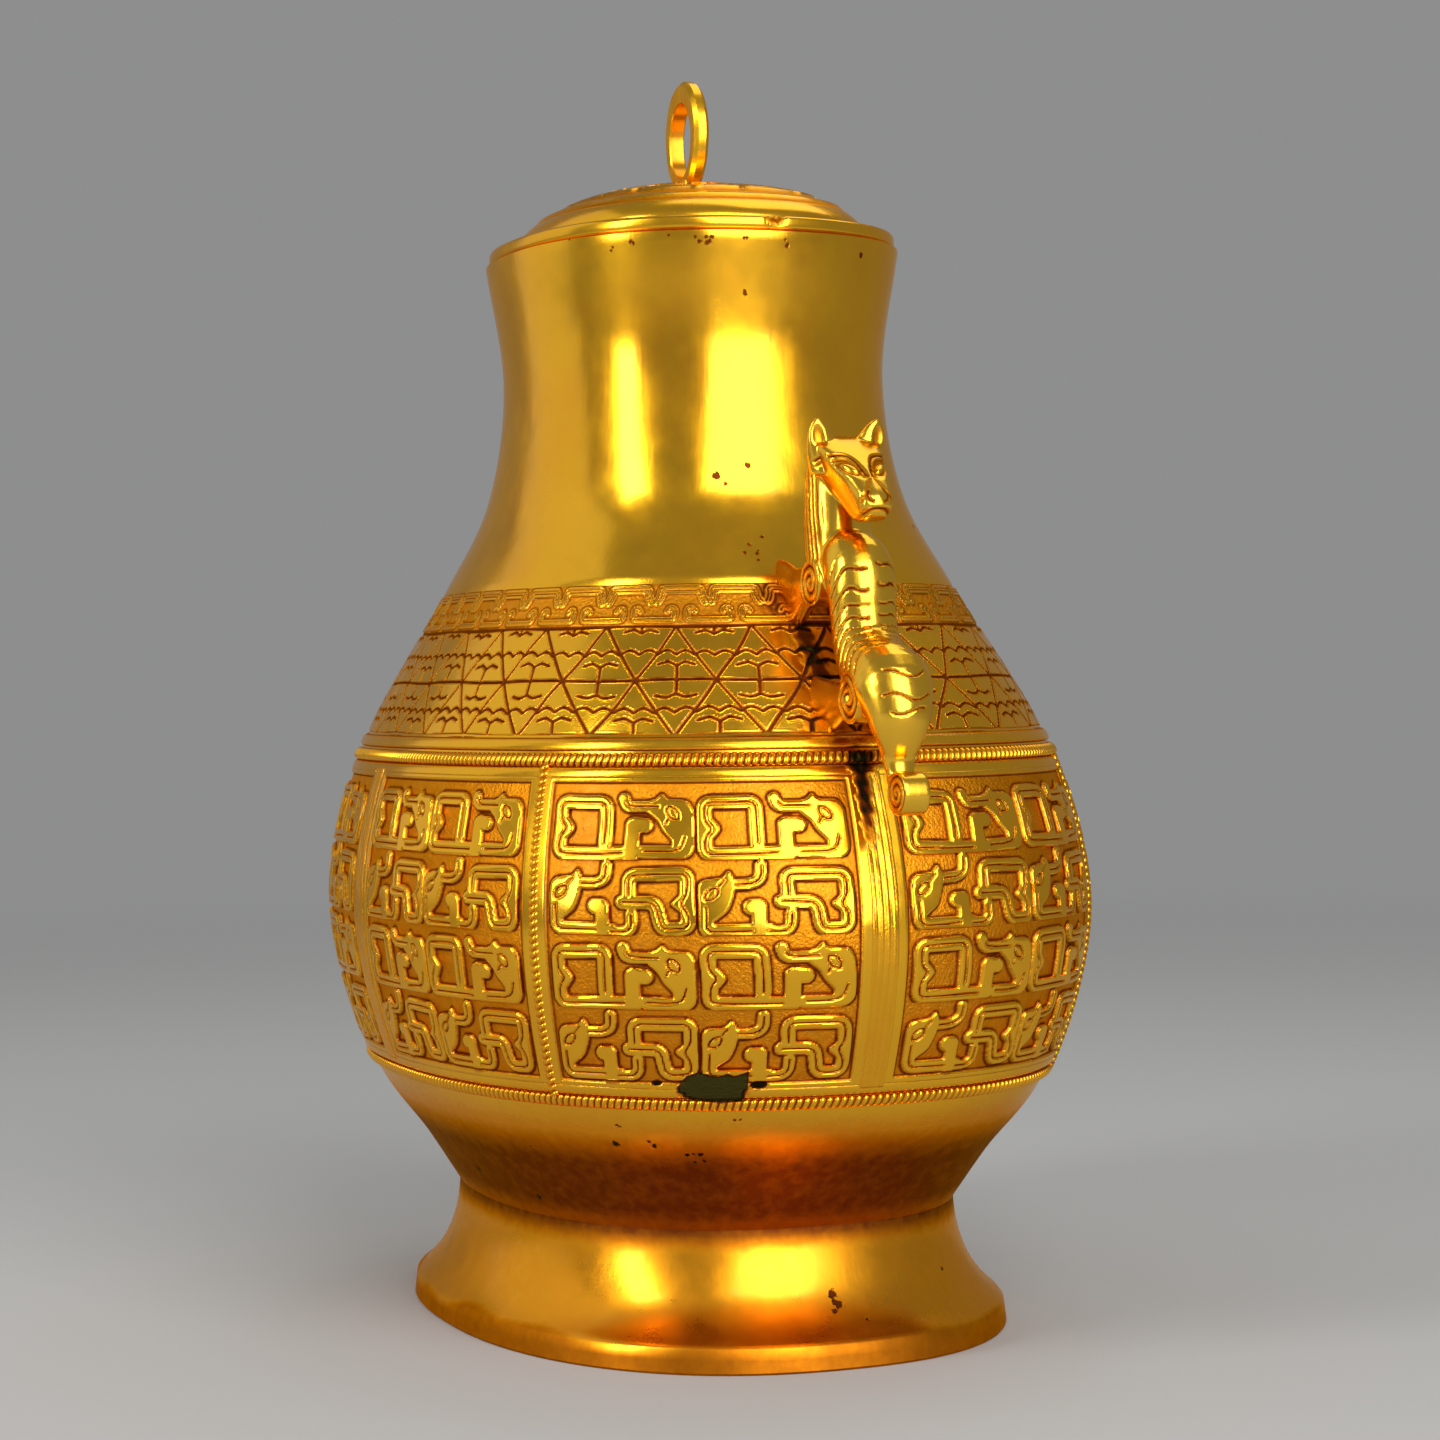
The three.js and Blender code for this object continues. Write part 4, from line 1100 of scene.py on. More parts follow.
def ring_rope(node, height):
    """A rope all the way round the belly."""
    strands = round(perimeter(height) / STRAND_PITCH)
    rope_piece(
        node, strands * STRAND_STEPS, lambda along: along * strands * STRAND_PITCH, 1,
        lambda along, across, rise: wall_points(along, height + across, rise), lambda along: along, True,
    )


def upright_rope(node, share):
    """A rope up the belly, from the lower ring to the upper one."""
    low, high = climb(ROPE_LOW + 1), climb(ROPE_HIGH - 1)

    def climbed(along):
        return low + along * (high - low)

    def place(along, across, rise):
        height = height_at(climbed(along))
        return wall_points(share + across / perimeter(height), height, rise)

    steps = round((high - low) / STRAND_PITCH * STRAND_STEPS)
    rope_piece(node, steps, climbed, UPRIGHT_SLANT, place, lambda along: share + 0 * along, False)


def strap_relief(seed):
    """A flat bar with streaks along it between two thin ridges."""
    shift = 2.1 * seed

    def relief(across, up):
        side = (across - 0.5) * STRAP_WIDTH
        climbed = up * (PANEL_TOP - PANEL_BOTTOM)
        waver = 0.12 * np.sin(climbed / 7 + shift) + 0.1 * np.sin(climbed / 2.6 + 2 * shift)
        bar = ramp(STRAP_BAR_HALF + waver * np.sign(side) - np.abs(side + 0.3 * waver), -0.15, 0.75)
        ridge = hump(np.abs(side) - STRAP_WIDTH / 2 + 0.7 + 0.4 * waver, 0.42)
        streaks = 0.02 * np.sin(side * 3.1 + 0.6 * np.sin(climbed / 9))
        streaks = streaks + 0.012 * np.sin(side * 7 + climbed / 21)
        dents = 0.05 * np.sin(climbed * 0.5 + side) * np.sin(climbed * 0.23 + shift)
        rise = np.maximum(bar * (STRAP_RISE + streaks + dents), 0.8 * STRAP_RISE * ridge)
        # The channels between the bar and the ridges are darkened as painted shade
        groove = (1 - bar) * (1 - ridge)
        return rise, np.clip(STRAP_TONE + 0.7 * groove + 1.5 * streaks, 0, 1)

    return relief


def strap(node, share, seed):
    half = STRAP_WIDTH / 2 / BELLY_SPAN
    heights = (PANEL_BOTTOM - 1, PANEL_TOP + 1)
    name = f"{node}_bar"
    mesh = wall_slab(
        name, (share - half, share + half), heights, STRAP_CELL, strap_relief(seed), row_cell=STRAP_ROW_CELL
    )
    relief_piece(name, mesh, node)


def band_relief(tall):
    """A level band with soft edges, darkened along them as painted shade."""

    def relief(across, up):
        lifted = ramp(np.minimum(up, 1 - up) * tall, 0, BAND_SOFT)
        return BAND_RISE * lifted, 1 - lifted

    return relief


ring_rope("rope_upper", ROPE_HIGH)
ring_rope("rope_lower", ROPE_LOW)
for number, (side, quadrant) in enumerate(zip(("right", "back", "left", "front"), QUADRANTS)):
    strap(f"strap_{side}", number / 4, 2 * number)
    upright_rope(f"rope_{quadrant}", (2 * number + 1) / 8)
for node, low, high in (
    ("shoulder_band", BAND_HIGH - BAND_WIDTH / 2, BAND_HIGH + BAND_WIDTH / 2),
    ("panel_band_top", PANEL_TOP - 0.6, ROPE_HIGH - 1.9),
    ("panel_band_bottom", ROPE_LOW + 1.9, PANEL_BOTTOM + 0.6),
):
    for number, quadrant in enumerate(QUADRANTS):
        name = f"{node}_{quadrant}"
        shares = (number / 4, (number + 1) / 4)
        relief = band_relief(high - low)
        mesh = wall_slab(name, shares, (low, high), BAND_CELL, relief, row_cell=BAND_ROW_CELL)
        relief_piece(name, mesh, node)


# The lid

LID_LENGTH, LID_WIDTH = (size - LID_INSET for size in half_sizes(RIM))
LID_UNITS = 8
LID_SCROLLS = (0.45, 0.76)
LID_LINE = 0.87
LID_RELIEF = 0.9
LID_LINE_RISE = 0.7
LID_DRAWING_SCALE = 0.25
# The nick in its edge: share, half width and depth in millimetres
LID_NICK = (0.9985, 2.6, 0.9)
LID_SPAN = 430
LID_DOME_ROWS = 104
LID_INNER_ROWS = 16
LID_COLUMNS = 440
DOME_END = math.acos(0.02)
LID_TOP = RIM + LID_EDGE


def dome_rows(rows, wall, height):
    """Rows from the dome's edge to its middle: share of the lid, offset and height."""
    return [
        (DOME_SHARE * math.cos(turn), -wall * math.cos(turn), height + DOME_RISE * math.sin(turn))
        for turn in np.linspace(0, DOME_END, rows)
    ]


# Round the edge plate, in the same three measures
LID_EDGE_PATH = [
    (1, -1.2, RIM + 0.05), (1, -0.4, RIM + 0.35), (1, 0, RIM + 1.1), (1, 0, LID_TOP - 1.1),
    (1, -0.35, LID_TOP - 0.35), (1, -1.2, LID_TOP), (1, -2.6, LID_TOP), (1, -4.2, LID_TOP),
]
LID_INSIDE = dome_rows(LID_INNER_ROWS, DOME_WALL, RIM)[::-1]
LID_PATH = LID_INSIDE + LID_EDGE_PATH + dome_rows(LID_DOME_ROWS, 0, LID_TOP)


def lid_relief(around, reach):
    """Rise and tone over the dome: a raised line, and a ring of low dragon scrolls within it."""
    inner, outer = LID_SCROLLS
    x = around * LID_UNITS % 1 * MOTIF_WIDTH
    y = MOTIF_HEIGHT * (outer - reach) / (outer - inner)
    solid = rising_dragon.look(rising_dragon.solid, x, y) * LID_DRAWING_SCALE
    groove = rising_dragon.look(rising_dragon.groove, x, y) * LID_DRAWING_SCALE
    raised = ramp(solid, -0.25, 0.3)
    cut = (1 - ramp(groove, 0.1, 0.55)) * raised
    ground = ramp(reach, inner - 0.08, inner - 0.02) * (1 - ramp(reach, outer + 0.03, outer + 0.07))
    rise = LID_RELIEF * (raised - 0.6 * cut) * ground + LID_LINE_RISE * hump(reach - LID_LINE, 0.016)
    # The scrolls' grooves and a line along the foot of the raised line are darkened as painted shade; the
    # ground keeps its own warmer tone
    tone = (0.45 * (1 - raised) + 0.8 * cut) * ground
    tone = np.maximum(tone, 0.6 * hump(reach - LID_LINE - 0.035, 0.02))
    return rise, np.clip(tone, 0, 1)


def lid_place(around, along):
    """Inside of the dome, round the edge plate, and over the dome."""
    share, offset, height = walk(LID_PATH, along)
    past_edge = along * (len(LID_PATH) - 1) > len(LID_INSIDE + LID_EDGE_PATH) - 0.5
    over = past_edge & (share < DOME_SHARE * 0.995)
    rise, tone = lid_relief(around, share / DOME_SHARE)
    height = height + np.where(over, rise, 0)
    gap = ((around - LID_NICK[0] + 0.5) % 1 - 0.5) * LID_SPAN
    nick = np.exp(-((gap / LID_NICK[1]) ** 4)) * (share > 0.97) * (height > RIM + 2) * (offset > -2)
    height = height - LID_NICK[2] * nick * (1 + 0.4 * np.sin(gap * 2.4))
    offset = offset - 0.5 * nick
    place = oval_place(around, LID_LENGTH * share + offset, LID_WIDTH * share + offset, height)
    return place, np.where(over, tone, 0) + 0.8 * nick


lid_mesh = sheet_mesh("lid_dome", LID_COLUMNS, len(LID_PATH) - 1, around=True, caps=True)
lid_points, lid_tone = lid_place(*vertex_array(lid_mesh)[:, :2].T)
store(lid_mesh, lid_points)
add_values(lid_mesh, "tone", lid_tone)
piece("lid_dome", right_way_out(lid_mesh), relief_gilt, body="lid", stands_for=("lid_cover",), sharp=60)

SPIGOT_BOTTOM = RIM - SPIGOT_DEPTH
SPIGOT_LENGTH, SPIGOT_WIDTH = (size - WALL - SPIGOT_CLEARANCE for size in half_sizes(SPIGOT_BOTTOM))
# The collar's section: millimetres out and heights
SPIGOT_PATH = (
    (-SPIGOT_WALL, SPIGOT_BOTTOM + 0.4), (0.4 - SPIGOT_WALL, SPIGOT_BOTTOM), (-0.4, SPIGOT_BOTTOM),
    (0, SPIGOT_BOTTOM + 0.4), (0, RIM), (-SPIGOT_WALL, RIM), (-SPIGOT_WALL, SPIGOT_BOTTOM + 0.4),
)


def spigot_place(around, along):
    """Round the section of the collar under the lid."""
    offset, height = walk(SPIGOT_PATH, along)
    return oval_place(around, SPIGOT_LENGTH + offset, SPIGOT_WIDTH + offset, height)


spigot_mesh = tube_mesh("lid_collar", BODY_SIDES, len(SPIGOT_PATH) - 1, spigot_place, closed=True)
piece("lid_collar", spigot_mesh, plain_gilt, body="lid", stands_for=("lid_spigot",))

# The loop on the lid: a flat standing ring, with its outer corners cut off, on a small foot

LOOP_HALF_WIDTH = 13.5
LOOP_HALF_HEIGHT = 17.15
LOOP_HALF_DEPTH = 2.45
HOLE_HALF_WIDTH = 8.9
HOLE_HALF_HEIGHT = 11.45
HOLE_DROP = 1.1
LOOP_CUT = 1.15
LOOP_STEPS = 96
LOOP_FOOT = (10.4, 5.8, 5.2)
FOOT_LIFT = 0.8
FOOT_BEVEL = 0.6
DOME_TOP = RIM + LID_EDGE + DOME_RISE
# Each corner of the section: whether it is on the hole, millimetres inwards, and share of the half depth
LOOP_SECTION = np.array((
    (0, 0, 0.5), (0, LOOP_CUT, 1), (1, -0.35, 1), (1, 0, 0.85), (1, 0, -0.85), (1, -0.35, -1),
    (0, LOOP_CUT, -1), (0, 0, -0.5), (0, 0, 0.5),
))


def loop_place(around, along):
    """Round the section, along the ring."""
    angle = 2 * math.pi * along
    waver = 0.12 * np.sin(5 * angle + 1) + 0.1 * np.sin(9 * angle)
    cos, sin = np.cos(angle), np.sin(angle)
    outer = np.stack([LOOP_HALF_WIDTH * cos, LOOP_HALF_HEIGHT * sin], axis=-1)
    hole = np.stack([HOLE_HALF_WIDTH * cos, HOLE_HALF_HEIGHT * sin - HOLE_DROP], axis=-1)
    inward = (hole - outer) / np.linalg.norm(hole - outer, axis=-1)[:, None]
    corner = np.rint(around * (len(LOOP_SECTION) - 1)).astype(int)
    on_hole, step, depth = LOOP_SECTION[corner].T
    start = np.where(on_hole[:, None] > 0, hole, outer)
    aside, up = (start + inward * (step - 0.5 * waver)[:, None]).T
    return np.stack([aside, depth * LOOP_HALF_DEPTH, DOME_TOP + LOOP_HALF_HEIGHT + up], axis=-1)


def add_loop_foot(mesh):
    """A small block with soft edges between the ring and the dome."""
    bm = bmesh.new()
    bm.from_mesh(mesh)
    size = Matrix.Diagonal((*(MM * length for length in LOOP_FOOT), 1))
    place = Matrix.Translation((0, 0, (DOME_TOP + FOOT_LIFT) * MM))
    block = bmesh.ops.create_cube(bm, size=1, matrix=place @ size)
    soften(bm, {edge for vert in block["verts"] for edge in vert.link_edges}, FOOT_BEVEL * MM)
    bm.to_mesh(mesh)
    bm.free()


loop_mesh = tube_mesh("lid_ring", len(LOOP_SECTION) - 1, LOOP_STEPS, loop_place, closed=True)
add_loop_foot(loop_mesh)
loop_points = vertex_array(loop_mesh) / MM
loop_aside = loop_points[:, 0] / HOLE_HALF_WIDTH
loop_up = (loop_points[:, 2] - DOME_TOP - 16) / HOLE_HALF_HEIGHT
# Painted shade: darker inside the hole, and low down where the ring meets the dome
loop_tone = np.where(np.hypot(loop_aside, loop_up) < 1.04, 0.3, 0.06)
loop_tone += 0.4 * (1 - ramp(loop_points[:, 2], DOME_TOP + 1, DOME_TOP + 6))
add_values(loop_mesh, "tone", loop_tone)
piece("lid_ring", loop_mesh, rope_gilt, body="lid", stands_for=("lid_loop",), sharp=30)


# The tigers. A station is millimetres out and up from the hip, aside, half width and half depth.

HIP_OUT = 147.6
HIP_UP = 191.5
TRUNK = (
    (-28, 41, 0, 4, 4), (-25, 38, 0, 8, 7), (-20.5, 33.5, 0, 9.6, 8.6), (-17.8, 27.5, 0, 9.8, 8.6),
    (-17, 20, 0, 9.3, 8), (-14.8, 12.3, 0, 9.6, 8.2), (-8.6, 5.6, 0, 10.6, 9.6), (1.8, -0.2, 0, 11.2, 10.4),
    (5.6, -6.5, 0, 9.4, 8.3), (6.2, -12, 0, 7.8, 6.4), (6, -17, 0, 5.6, 4), (5.8, -20, 0, 3.6, 2.4),
)
NECK = (
    (-24, 31, 0, 9, 8), (-31, 37, 0, 10.2, 9.4), (-34.2, 43, 0, 9.4, 9.8), (-35.6, 50, 0, 8.4, 9.4),
    (-36.2, 58, 0, 7.8, 8.6), (-36, 66, 0, 6.4, 5.5),
)
TAIL = (
    (0, -3, 0, 9, 6), (4.4, -9, 0, 7.6, 5.4), (5.2, -15, 0, 6, 4.2), (5.8, -21, 0, 4.4, 3),
    (7.4, -26.5, 0, 3.6, 2.6), (9.5, -30, 0, 3.6, 2.4),
)
FORELEG = (
    (-31, 29, 6.8, 3.6, 5.4), (-39, 27.5, 7.4, 3.1, 6.4), (-46, 25.5, 7.6, 3, 9), (-55, 24.5, 7.6, 3.3, 12),
    (-62, 24.2, 7.6, 3.4, 12.5),
)
HIND_LEG = (
    (-5, -3, 6.8, 4.2, 5.4), (-14, -4, 7.4, 3.3, 5.4), (-21, -5, 7.6, 3.3, 7), (-33, -6, 7.6, 3.7, 9.4),
    (-40, -6.4, 7.6, 3.8, 10),
)
EAR = (
    (-28.5, 59, 6.6, 3.4, 4.4), (-28, 65, 7, 4.3, 3.2), (-27.2, 69, 7.6, 4.1, 2.1),
    (-26.6, 72, 8.3, 2.9, 1.4), (-26.2, 73.8, 8.8, 1.5, 0.8), (-26, 74.6, 9, 0.4, 0.3),
)
# Level slices of the head: up, back, front, half width
HEAD = (
    (45.2, -16, -9.8, 2.8), (46.8, -19, -6.8, 4.2), (49.5, -23.5, -4.8, 4.9), (52, -27, -5.4, 5.4),
    (55.5, -32, -8.6, 6.2), (59.5, -36.5, -12.8, 7.7), (63.5, -38, -17.8, 8.9), (67, -38, -23, 9.6),
    (69, -37, -26.8, 9), (70, -36, -31, 5.6),
)
# Each scroll: its middle, its radius, which way it turns, its pitch and where it starts
SHOULDER_DISC = (-30.4, 29.2, 6.7, 1, 2.7, 0.1)
HIP_DISC = (-4.6, -3, 7.1, 1, 2.7, 0.35)
CURL = (11.7, -28.6, 5.9, -1, 2.3, 0.2)
DISC_STANDOUT = 10.4
DISC_SIDES = 48
CURL_HALF = 4.0
PAW_SINK = 2.4
VOXEL = 0.45
SMOOTH_TURNS = 3


def loft_mesh(name, stations, side=0, sides=32, rows=40):
    """A closed skin along a smooth line in the tiger's upright plane, or beside it."""
    line = catmull_rom(stations, 16)
    slope = np.gradient(line[:, :2], axis=0)
    slope /= np.linalg.norm(slope, axis=1)[:, None]

    def place(around, along):
        out, up, aside, wide, deep = walk(line, along)
        way_out, way_up = walk(slope, along)
        angle = 2 * math.pi * around
        across, depth = wide * np.cos(angle), deep * np.sin(angle)
        return np.stack([out + depth * way_up, side * aside + across, up - depth * way_out], axis=-1)

    return tube_mesh(name, sides, rows, place)


def head_mesh(name):
    """The head: level slices with a flat face and a round back."""
    line = catmull_rom(HEAD, 16)

    def place(around, along):
        up, back, front, wide = walk(line, along)
        angle = 2 * math.pi * around
        cos, sin = np.cos(angle), np.sin(angle)
        middle = front - 0.35 * (front - back)
        face = (front - middle) * np.abs(cos) ** 0.5
        nape = (middle - back) * np.abs(cos) ** 0.9
        out = middle + np.sign(cos) * np.where(cos > 0, face, nape)
        return np.stack([out, wide * np.sign(sin) * np.abs(sin) ** 0.62, up], axis=-1)

    return tube_mesh(name, 40, 60, place)


def add_disc(bm, disc, half):
    """A short round bar across the tiger, with its edges softened."""
    out, up, radius = disc[:3]
    made = bmesh.ops.create_cone(
        bm, cap_ends=True, segments=DISC_SIDES, radius1=radius, radius2=radius, depth=2 * half,
        matrix=Matrix.Translation((out, 0, up)) @ Matrix.Rotation(math.pi / 2, 4, "X"),
    )
    edges = {edge for vert in made["verts"] for edge in vert.link_edges}
    soften(bm, {edge for edge in edges if abs(edge.verts[0].co.y - edge.verts[1].co.y) < TINY}, 0.5)


def tiger_core():
    """All the masses of the tiger joined into one skin, in millimetres from the hip."""
    parts = [loft_mesh("trunk", TRUNK), loft_mesh("neck", NECK), loft_mesh("tail", TAIL), head_mesh("head")]
    for side in (-1, 1):
        parts += [loft_mesh("limb", line, side) for line in (FORELEG, HIND_LEG, EAR)]
    bm = bmesh.new()
    for part in parts:
        bm.from_mesh(part)
        bpy.data.meshes.remove(part)
    bmesh.ops.scale(bm, vec=(1 / MM,) * 3, verts=bm.verts)
    for disc, half in ((SHOULDER_DISC, DISC_STANDOUT), (HIP_DISC, DISC_STANDOUT), (CURL, CURL_HALF)):
        add_disc(bm, disc, half)
    holder = bpy.data.objects.new("tiger_core", mesh_of(bm, "tiger_core"))
    bpy.context.collection.objects.link(holder)
    remesh = holder.modifiers.new("melt", "REMESH")
    remesh.mode = "VOXEL"
    remesh.voxel_size = VOXEL
    melted = bpy.data.meshes.new_from_object(holder.evaluated_get(bpy.context.evaluated_depsgraph_get()))
    bpy.data.objects.remove(holder)
    bm = bmesh.new()
    bm.from_mesh(melted)
    for _ in range(SMOOTH_TURNS):
        bmesh.ops.smooth_vert(
            bm, verts=bm.verts, factor=0.5, use_axis_x=True, use_axis_y=True, use_axis_z=True
        )
    bm.to_mesh(melted)
    bm.free()
    return melted


def scroll_cut(points, disc, edge, soft):
    """A spiral groove within a scroll's flat sides: soft is where it ends, edge how far from the rim."""
    out, up, radius, turn, pitch, start = disc
    dx, dz = points[:, 0] - out, points[:, 2] - up
    reach = np.hypot(dx, dz)
    angle = np.arctan2(dz, dx) * turn / (2 * math.pi)
    away = np.abs((reach / pitch - angle + start) % 1 - 0.5) * pitch
    groove = 1 - ramp(away, 0.15, soft)
    return groove * (1 - ramp(reach, radius - edge, radius - edge + 0.6)), reach - radius


# Lines of the face, seen square on: aside and up from the hip
BROW = ((10.2, 62.4), (8.8, 63.6), (6, 64.1), (3.4, 63.6), (1.8, 61.4), (0.7, 57.6))
BROW_UNDER = ((9.8, 61), (8.4, 62.3), (6, 62.8), (4, 62.3), (2.7, 60.6), (1.6, 57.4))
EYE_ASIDE = 4.7
EYE_UP = 60.2
EYE_TURN = 0.42
EYE = almond(EYE_ASIDE, EYE_UP, 2.9, 1.5, EYE_TURN)
NOSE_SIDE = ((0.9, 56.6), (2.4, 54.4), (4.4, 51.4), (4.8, 50))
NOSTRIL = ((2.3, 53.6), (3.2, 52.5), (3, 51), (1.8, 50.4))
MOUTH = ((0.2, 48.4), (2.2, 48.2), (3.6, 47), (4.6, 45.6))
# Each line with its half width and its depth
FACE_LINES = (
    (BROW, 0.26, 0.5), (BROW_UNDER, 0.22, 0.4), (EYE, 0.22, 0.4), (NOSE_SIDE, 0.22, 0.35),
    (NOSTRIL, 0.26, 0.5), (MOUTH, 0.26, 0.45),
)


def face_depth(points, normals):
    """Grooves and swellings of the face, seen square on."""
    side, up = np.abs(points[:, 1]), points[:, 2]
    behind = -21 - 0.45 * (up - 46)
    front = ramp(normals[:, 0], 0.12, 0.35) * ramp(up, 44, 45.5) * ramp(points[:, 0] - behind, 0, 3)
    cut = np.zeros(len(points))
    for line, half, depth in FACE_LINES:
        away = distance_to_line(side, up, smoothed(line))
        cut = np.maximum(cut, depth * (1 - ramp(away, half * 0.6, half + 0.42)))
    tilted = (up - EYE_UP) - EYE_TURN * (side - EYE_ASIDE)
    socket = blob(side - EYE_ASIDE, tilted, 3.9, 2.2)
    ball = blob(side - EYE_ASIDE + 0.2, tilted, 2.1, 1.15)
    bridge = hump(side, 1.4) * ramp(up, 50, 52) * (1 - ramp(up, 56, 60))
    lips = hump(up - 49.4, 1.1) * (1 - ramp(side, 3.8, 5.2))
    under = hump(up - 46.6, 1.0) * (1 - ramp(side, 2.6, 4.4))
    swell = 0.75 * ball - 0.65 * socket + 0.35 * bridge + 0.4 * lips + 0.3 * under
    return front * (swell - cut), front * cut


# Each line across the haunch: height and half width
HAUNCH_LINES = ((3.8, 6.5), (-2.6, 7.4), (-6.6, 5.6))
STRIPE_PITCH = 4.15
STRIPE_DEPTH = 0.6
HAUNCH_DEPTH = 0.5
MANE_PITCH = 2
MANE_DEPTH = 0.5


def stripes_cut(points):
    """Wavy grooves in two columns down the back, and three across the haunch."""
    line = catmull_rom(TRUNK, 10)[:, :2]
    out, side, up = points.T
    steps = np.concatenate([[0], np.cumsum(np.hypot(*np.diff(line, axis=0).T))])
    best, along, lift = np.full(len(points), 1e9), np.zeros(len(points)), np.zeros(len(points))
    for (ax, az), (bx, bz), start in zip(line, line[1:], steps):
        dx, dz = bx - ax, bz - az
        size = math.hypot(dx, dz)
        t = np.clip(((out - ax) * dx + (up - az) * dz) / size**2, 0, 1)
        away = np.hypot(out - ax - t * dx, up - az - t * dz)
        above = (out - ax) * -dz + (up - az) * dx
        nearer = away < best
        best = np.where(nearer, away, best)
        along = np.where(nearer, start + t * size, along)
        lift = np.where(nearer, np.sign(above) * away, lift)
    turn = np.arctan2(np.abs(side), np.maximum(lift, -20)) / math.radians(80)
    sweep = along - 0.6 * np.sin(6 * turn) - 6.5 * ramp(turn, 0.5, 1.3)
    # The two columns are a little out of step
    sweep = sweep + 0.9 * (side > 0)
    away = np.abs((sweep / STRIPE_PITCH) % 1 - 0.5) * STRIPE_PITCH
    zone = ramp(turn, 0.10, 0.15) * (1 - ramp(turn, 1.05, 1.2))
    zone = zone * ramp(along, 11, 13) * (1 - ramp(along, 50, 52))
    cut = STRIPE_DEPTH * (1 - ramp(away, 0.12, 0.48)) * zone
    for level, half in HAUNCH_LINES:
        away = np.abs(up - level - 0.9 * np.sin(side / 2.1 + level))
        zone = (1 - ramp(np.abs(side), half - 0.6, half)) * ramp(out, -2, 1)
        cut = np.maximum(cut, HAUNCH_DEPTH * (1 - ramp(away, 0.12, 0.48)) * zone)
    return cut


def mane_cut(points):
    """Long strands down the sides and back of the neck."""
    out, up, side = points[:, 0], points[:, 2], np.abs(points[:, 1])
    edge = -28 - 0.32 * (up - 46)
    zone = ramp(edge - out, 0, 1.2) * ramp(up, 33, 36) * (1 - ramp(up, 62, 68)) * ramp(side, 1, 2)
    zone = zone * ramp(out, -49.5, -47.5)
    across = out + 0.3 * up + 0.6 * np.sin(up / 3.4) - 0.45 * side
    away = np.abs((across / MANE_PITCH) % 1 - 0.5) * MANE_PITCH
    return MANE_DEPTH * (1 - ramp(away, 0.1, 0.75)) * zone


def carve_tiger(mesh):
    """Cuts the engraved lines into the skin and returns how deep each point lies in one, with the ears'
    hollows added: a tone that darkens them as painted shade.
    """
    points, normals = vertex_array(mesh), normals_of(mesh)
    side, up = np.abs(points[:, 1]), points[:, 2]
    move, tone = face_depth(points, normals)
    flank = ramp(np.abs(normals[:, 1]), 0.8, 0.92)
    on_disc = ramp(side, DISC_STANDOUT - 1.2, DISC_STANDOUT - 0.6) * flank
    groove, past_rim = scroll_cut(points, CURL, 0.8, 0.7)
    cut = 0.6 * groove * flank * ramp(-up, 20, 22)
    discs = np.zeros(len(points))
    for disc in (SHOULDER_DISC, HIP_DISC):
        groove, past_rim = scroll_cut(points, disc, 0.9, 0.75)
        cut = np.maximum(cut, 0.7 * groove * on_disc)
        discs = np.maximum(discs, 1 - ramp(past_rim, 0.2, 1.4))
    off_disc = np.where(side > DISC_STANDOUT - 2.2, 1 - discs, 1.0)
    cut = np.maximum.reduce([cut, stripes_cut(points) * off_disc, mane_cut(points)])
    ear = ramp(up, 66, 68.5) * ramp(normals[:, 0], 0.3, 0.7) * ramp(side, 6.5, 8)
    hollow = blob(side - 8.9 - 0.15 * (up - 69), up - 69, 1.7, 3.4)
    move = move - 0.9 * ear * hollow - cut
    store(mesh, points + normals * move[:, None])
    return np.clip(np.maximum(tone, cut) / 0.5 + 0.5 * ear * hollow, 0, 1)


def sink_paws(points):
    """Moves what lies deeper in the wall than PAW_SINK out to that depth."""
    length, width = half_sizes(points[:, 2])
    power = np.abs(points[:, 0] / length) ** OVAL_POWER + np.abs(points[:, 1] / width) ** OVAL_POWER
    least = 1 - PAW_SINK / length
    points[:, :2] *= np.maximum(1, least / power ** (1 / OVAL_POWER))[:, None]


def tiger_mesh():
    mesh = tiger_core()
    tone = carve_tiger(mesh)
    # Painted shade: darker where the skin turns away from facing outwards, on its sides and most where it
    # faces the wall
    low = np.clip((0.35 - normals_of(mesh)[:, 0]) * 0.8, 0, 0.6)
    points = vertex_array(mesh) / MM + np.array([HIP_OUT, 0, HIP_UP])
    sink_paws(points)
    store(mesh, points)
    add_values(mesh, "tone", np.maximum(tone, low))
    return mesh


tiger = tiger_mesh()
other_tiger = tiger.copy()
other_tiger.transform(Matrix.Rotation(math.pi, 4, "Z"))
for side, mesh in (("right", tiger), ("left", other_tiger)):
    mesh.name = f"tiger_{side}"
    piece(f"tiger_{side}", mesh, tiger_gilt, stands_for=(f"tiger_handle_{side}",), sharp=80)


# The studio

SHOWN_GREY = (0.27, 0.27, 0.272)
AIR_GREY = (0.35, 0.35, 0.35)
FLOOR_GREY = (0.42, 0.42, 0.41)
FLOOR_HALF = 4
FLOOR_ROUGHNESS = 0.9
FADE_FROM, FADE_TO = 0.5, 2.2
LAMP_AIM = (0, 0, 0.19)
VIEW = -21.4


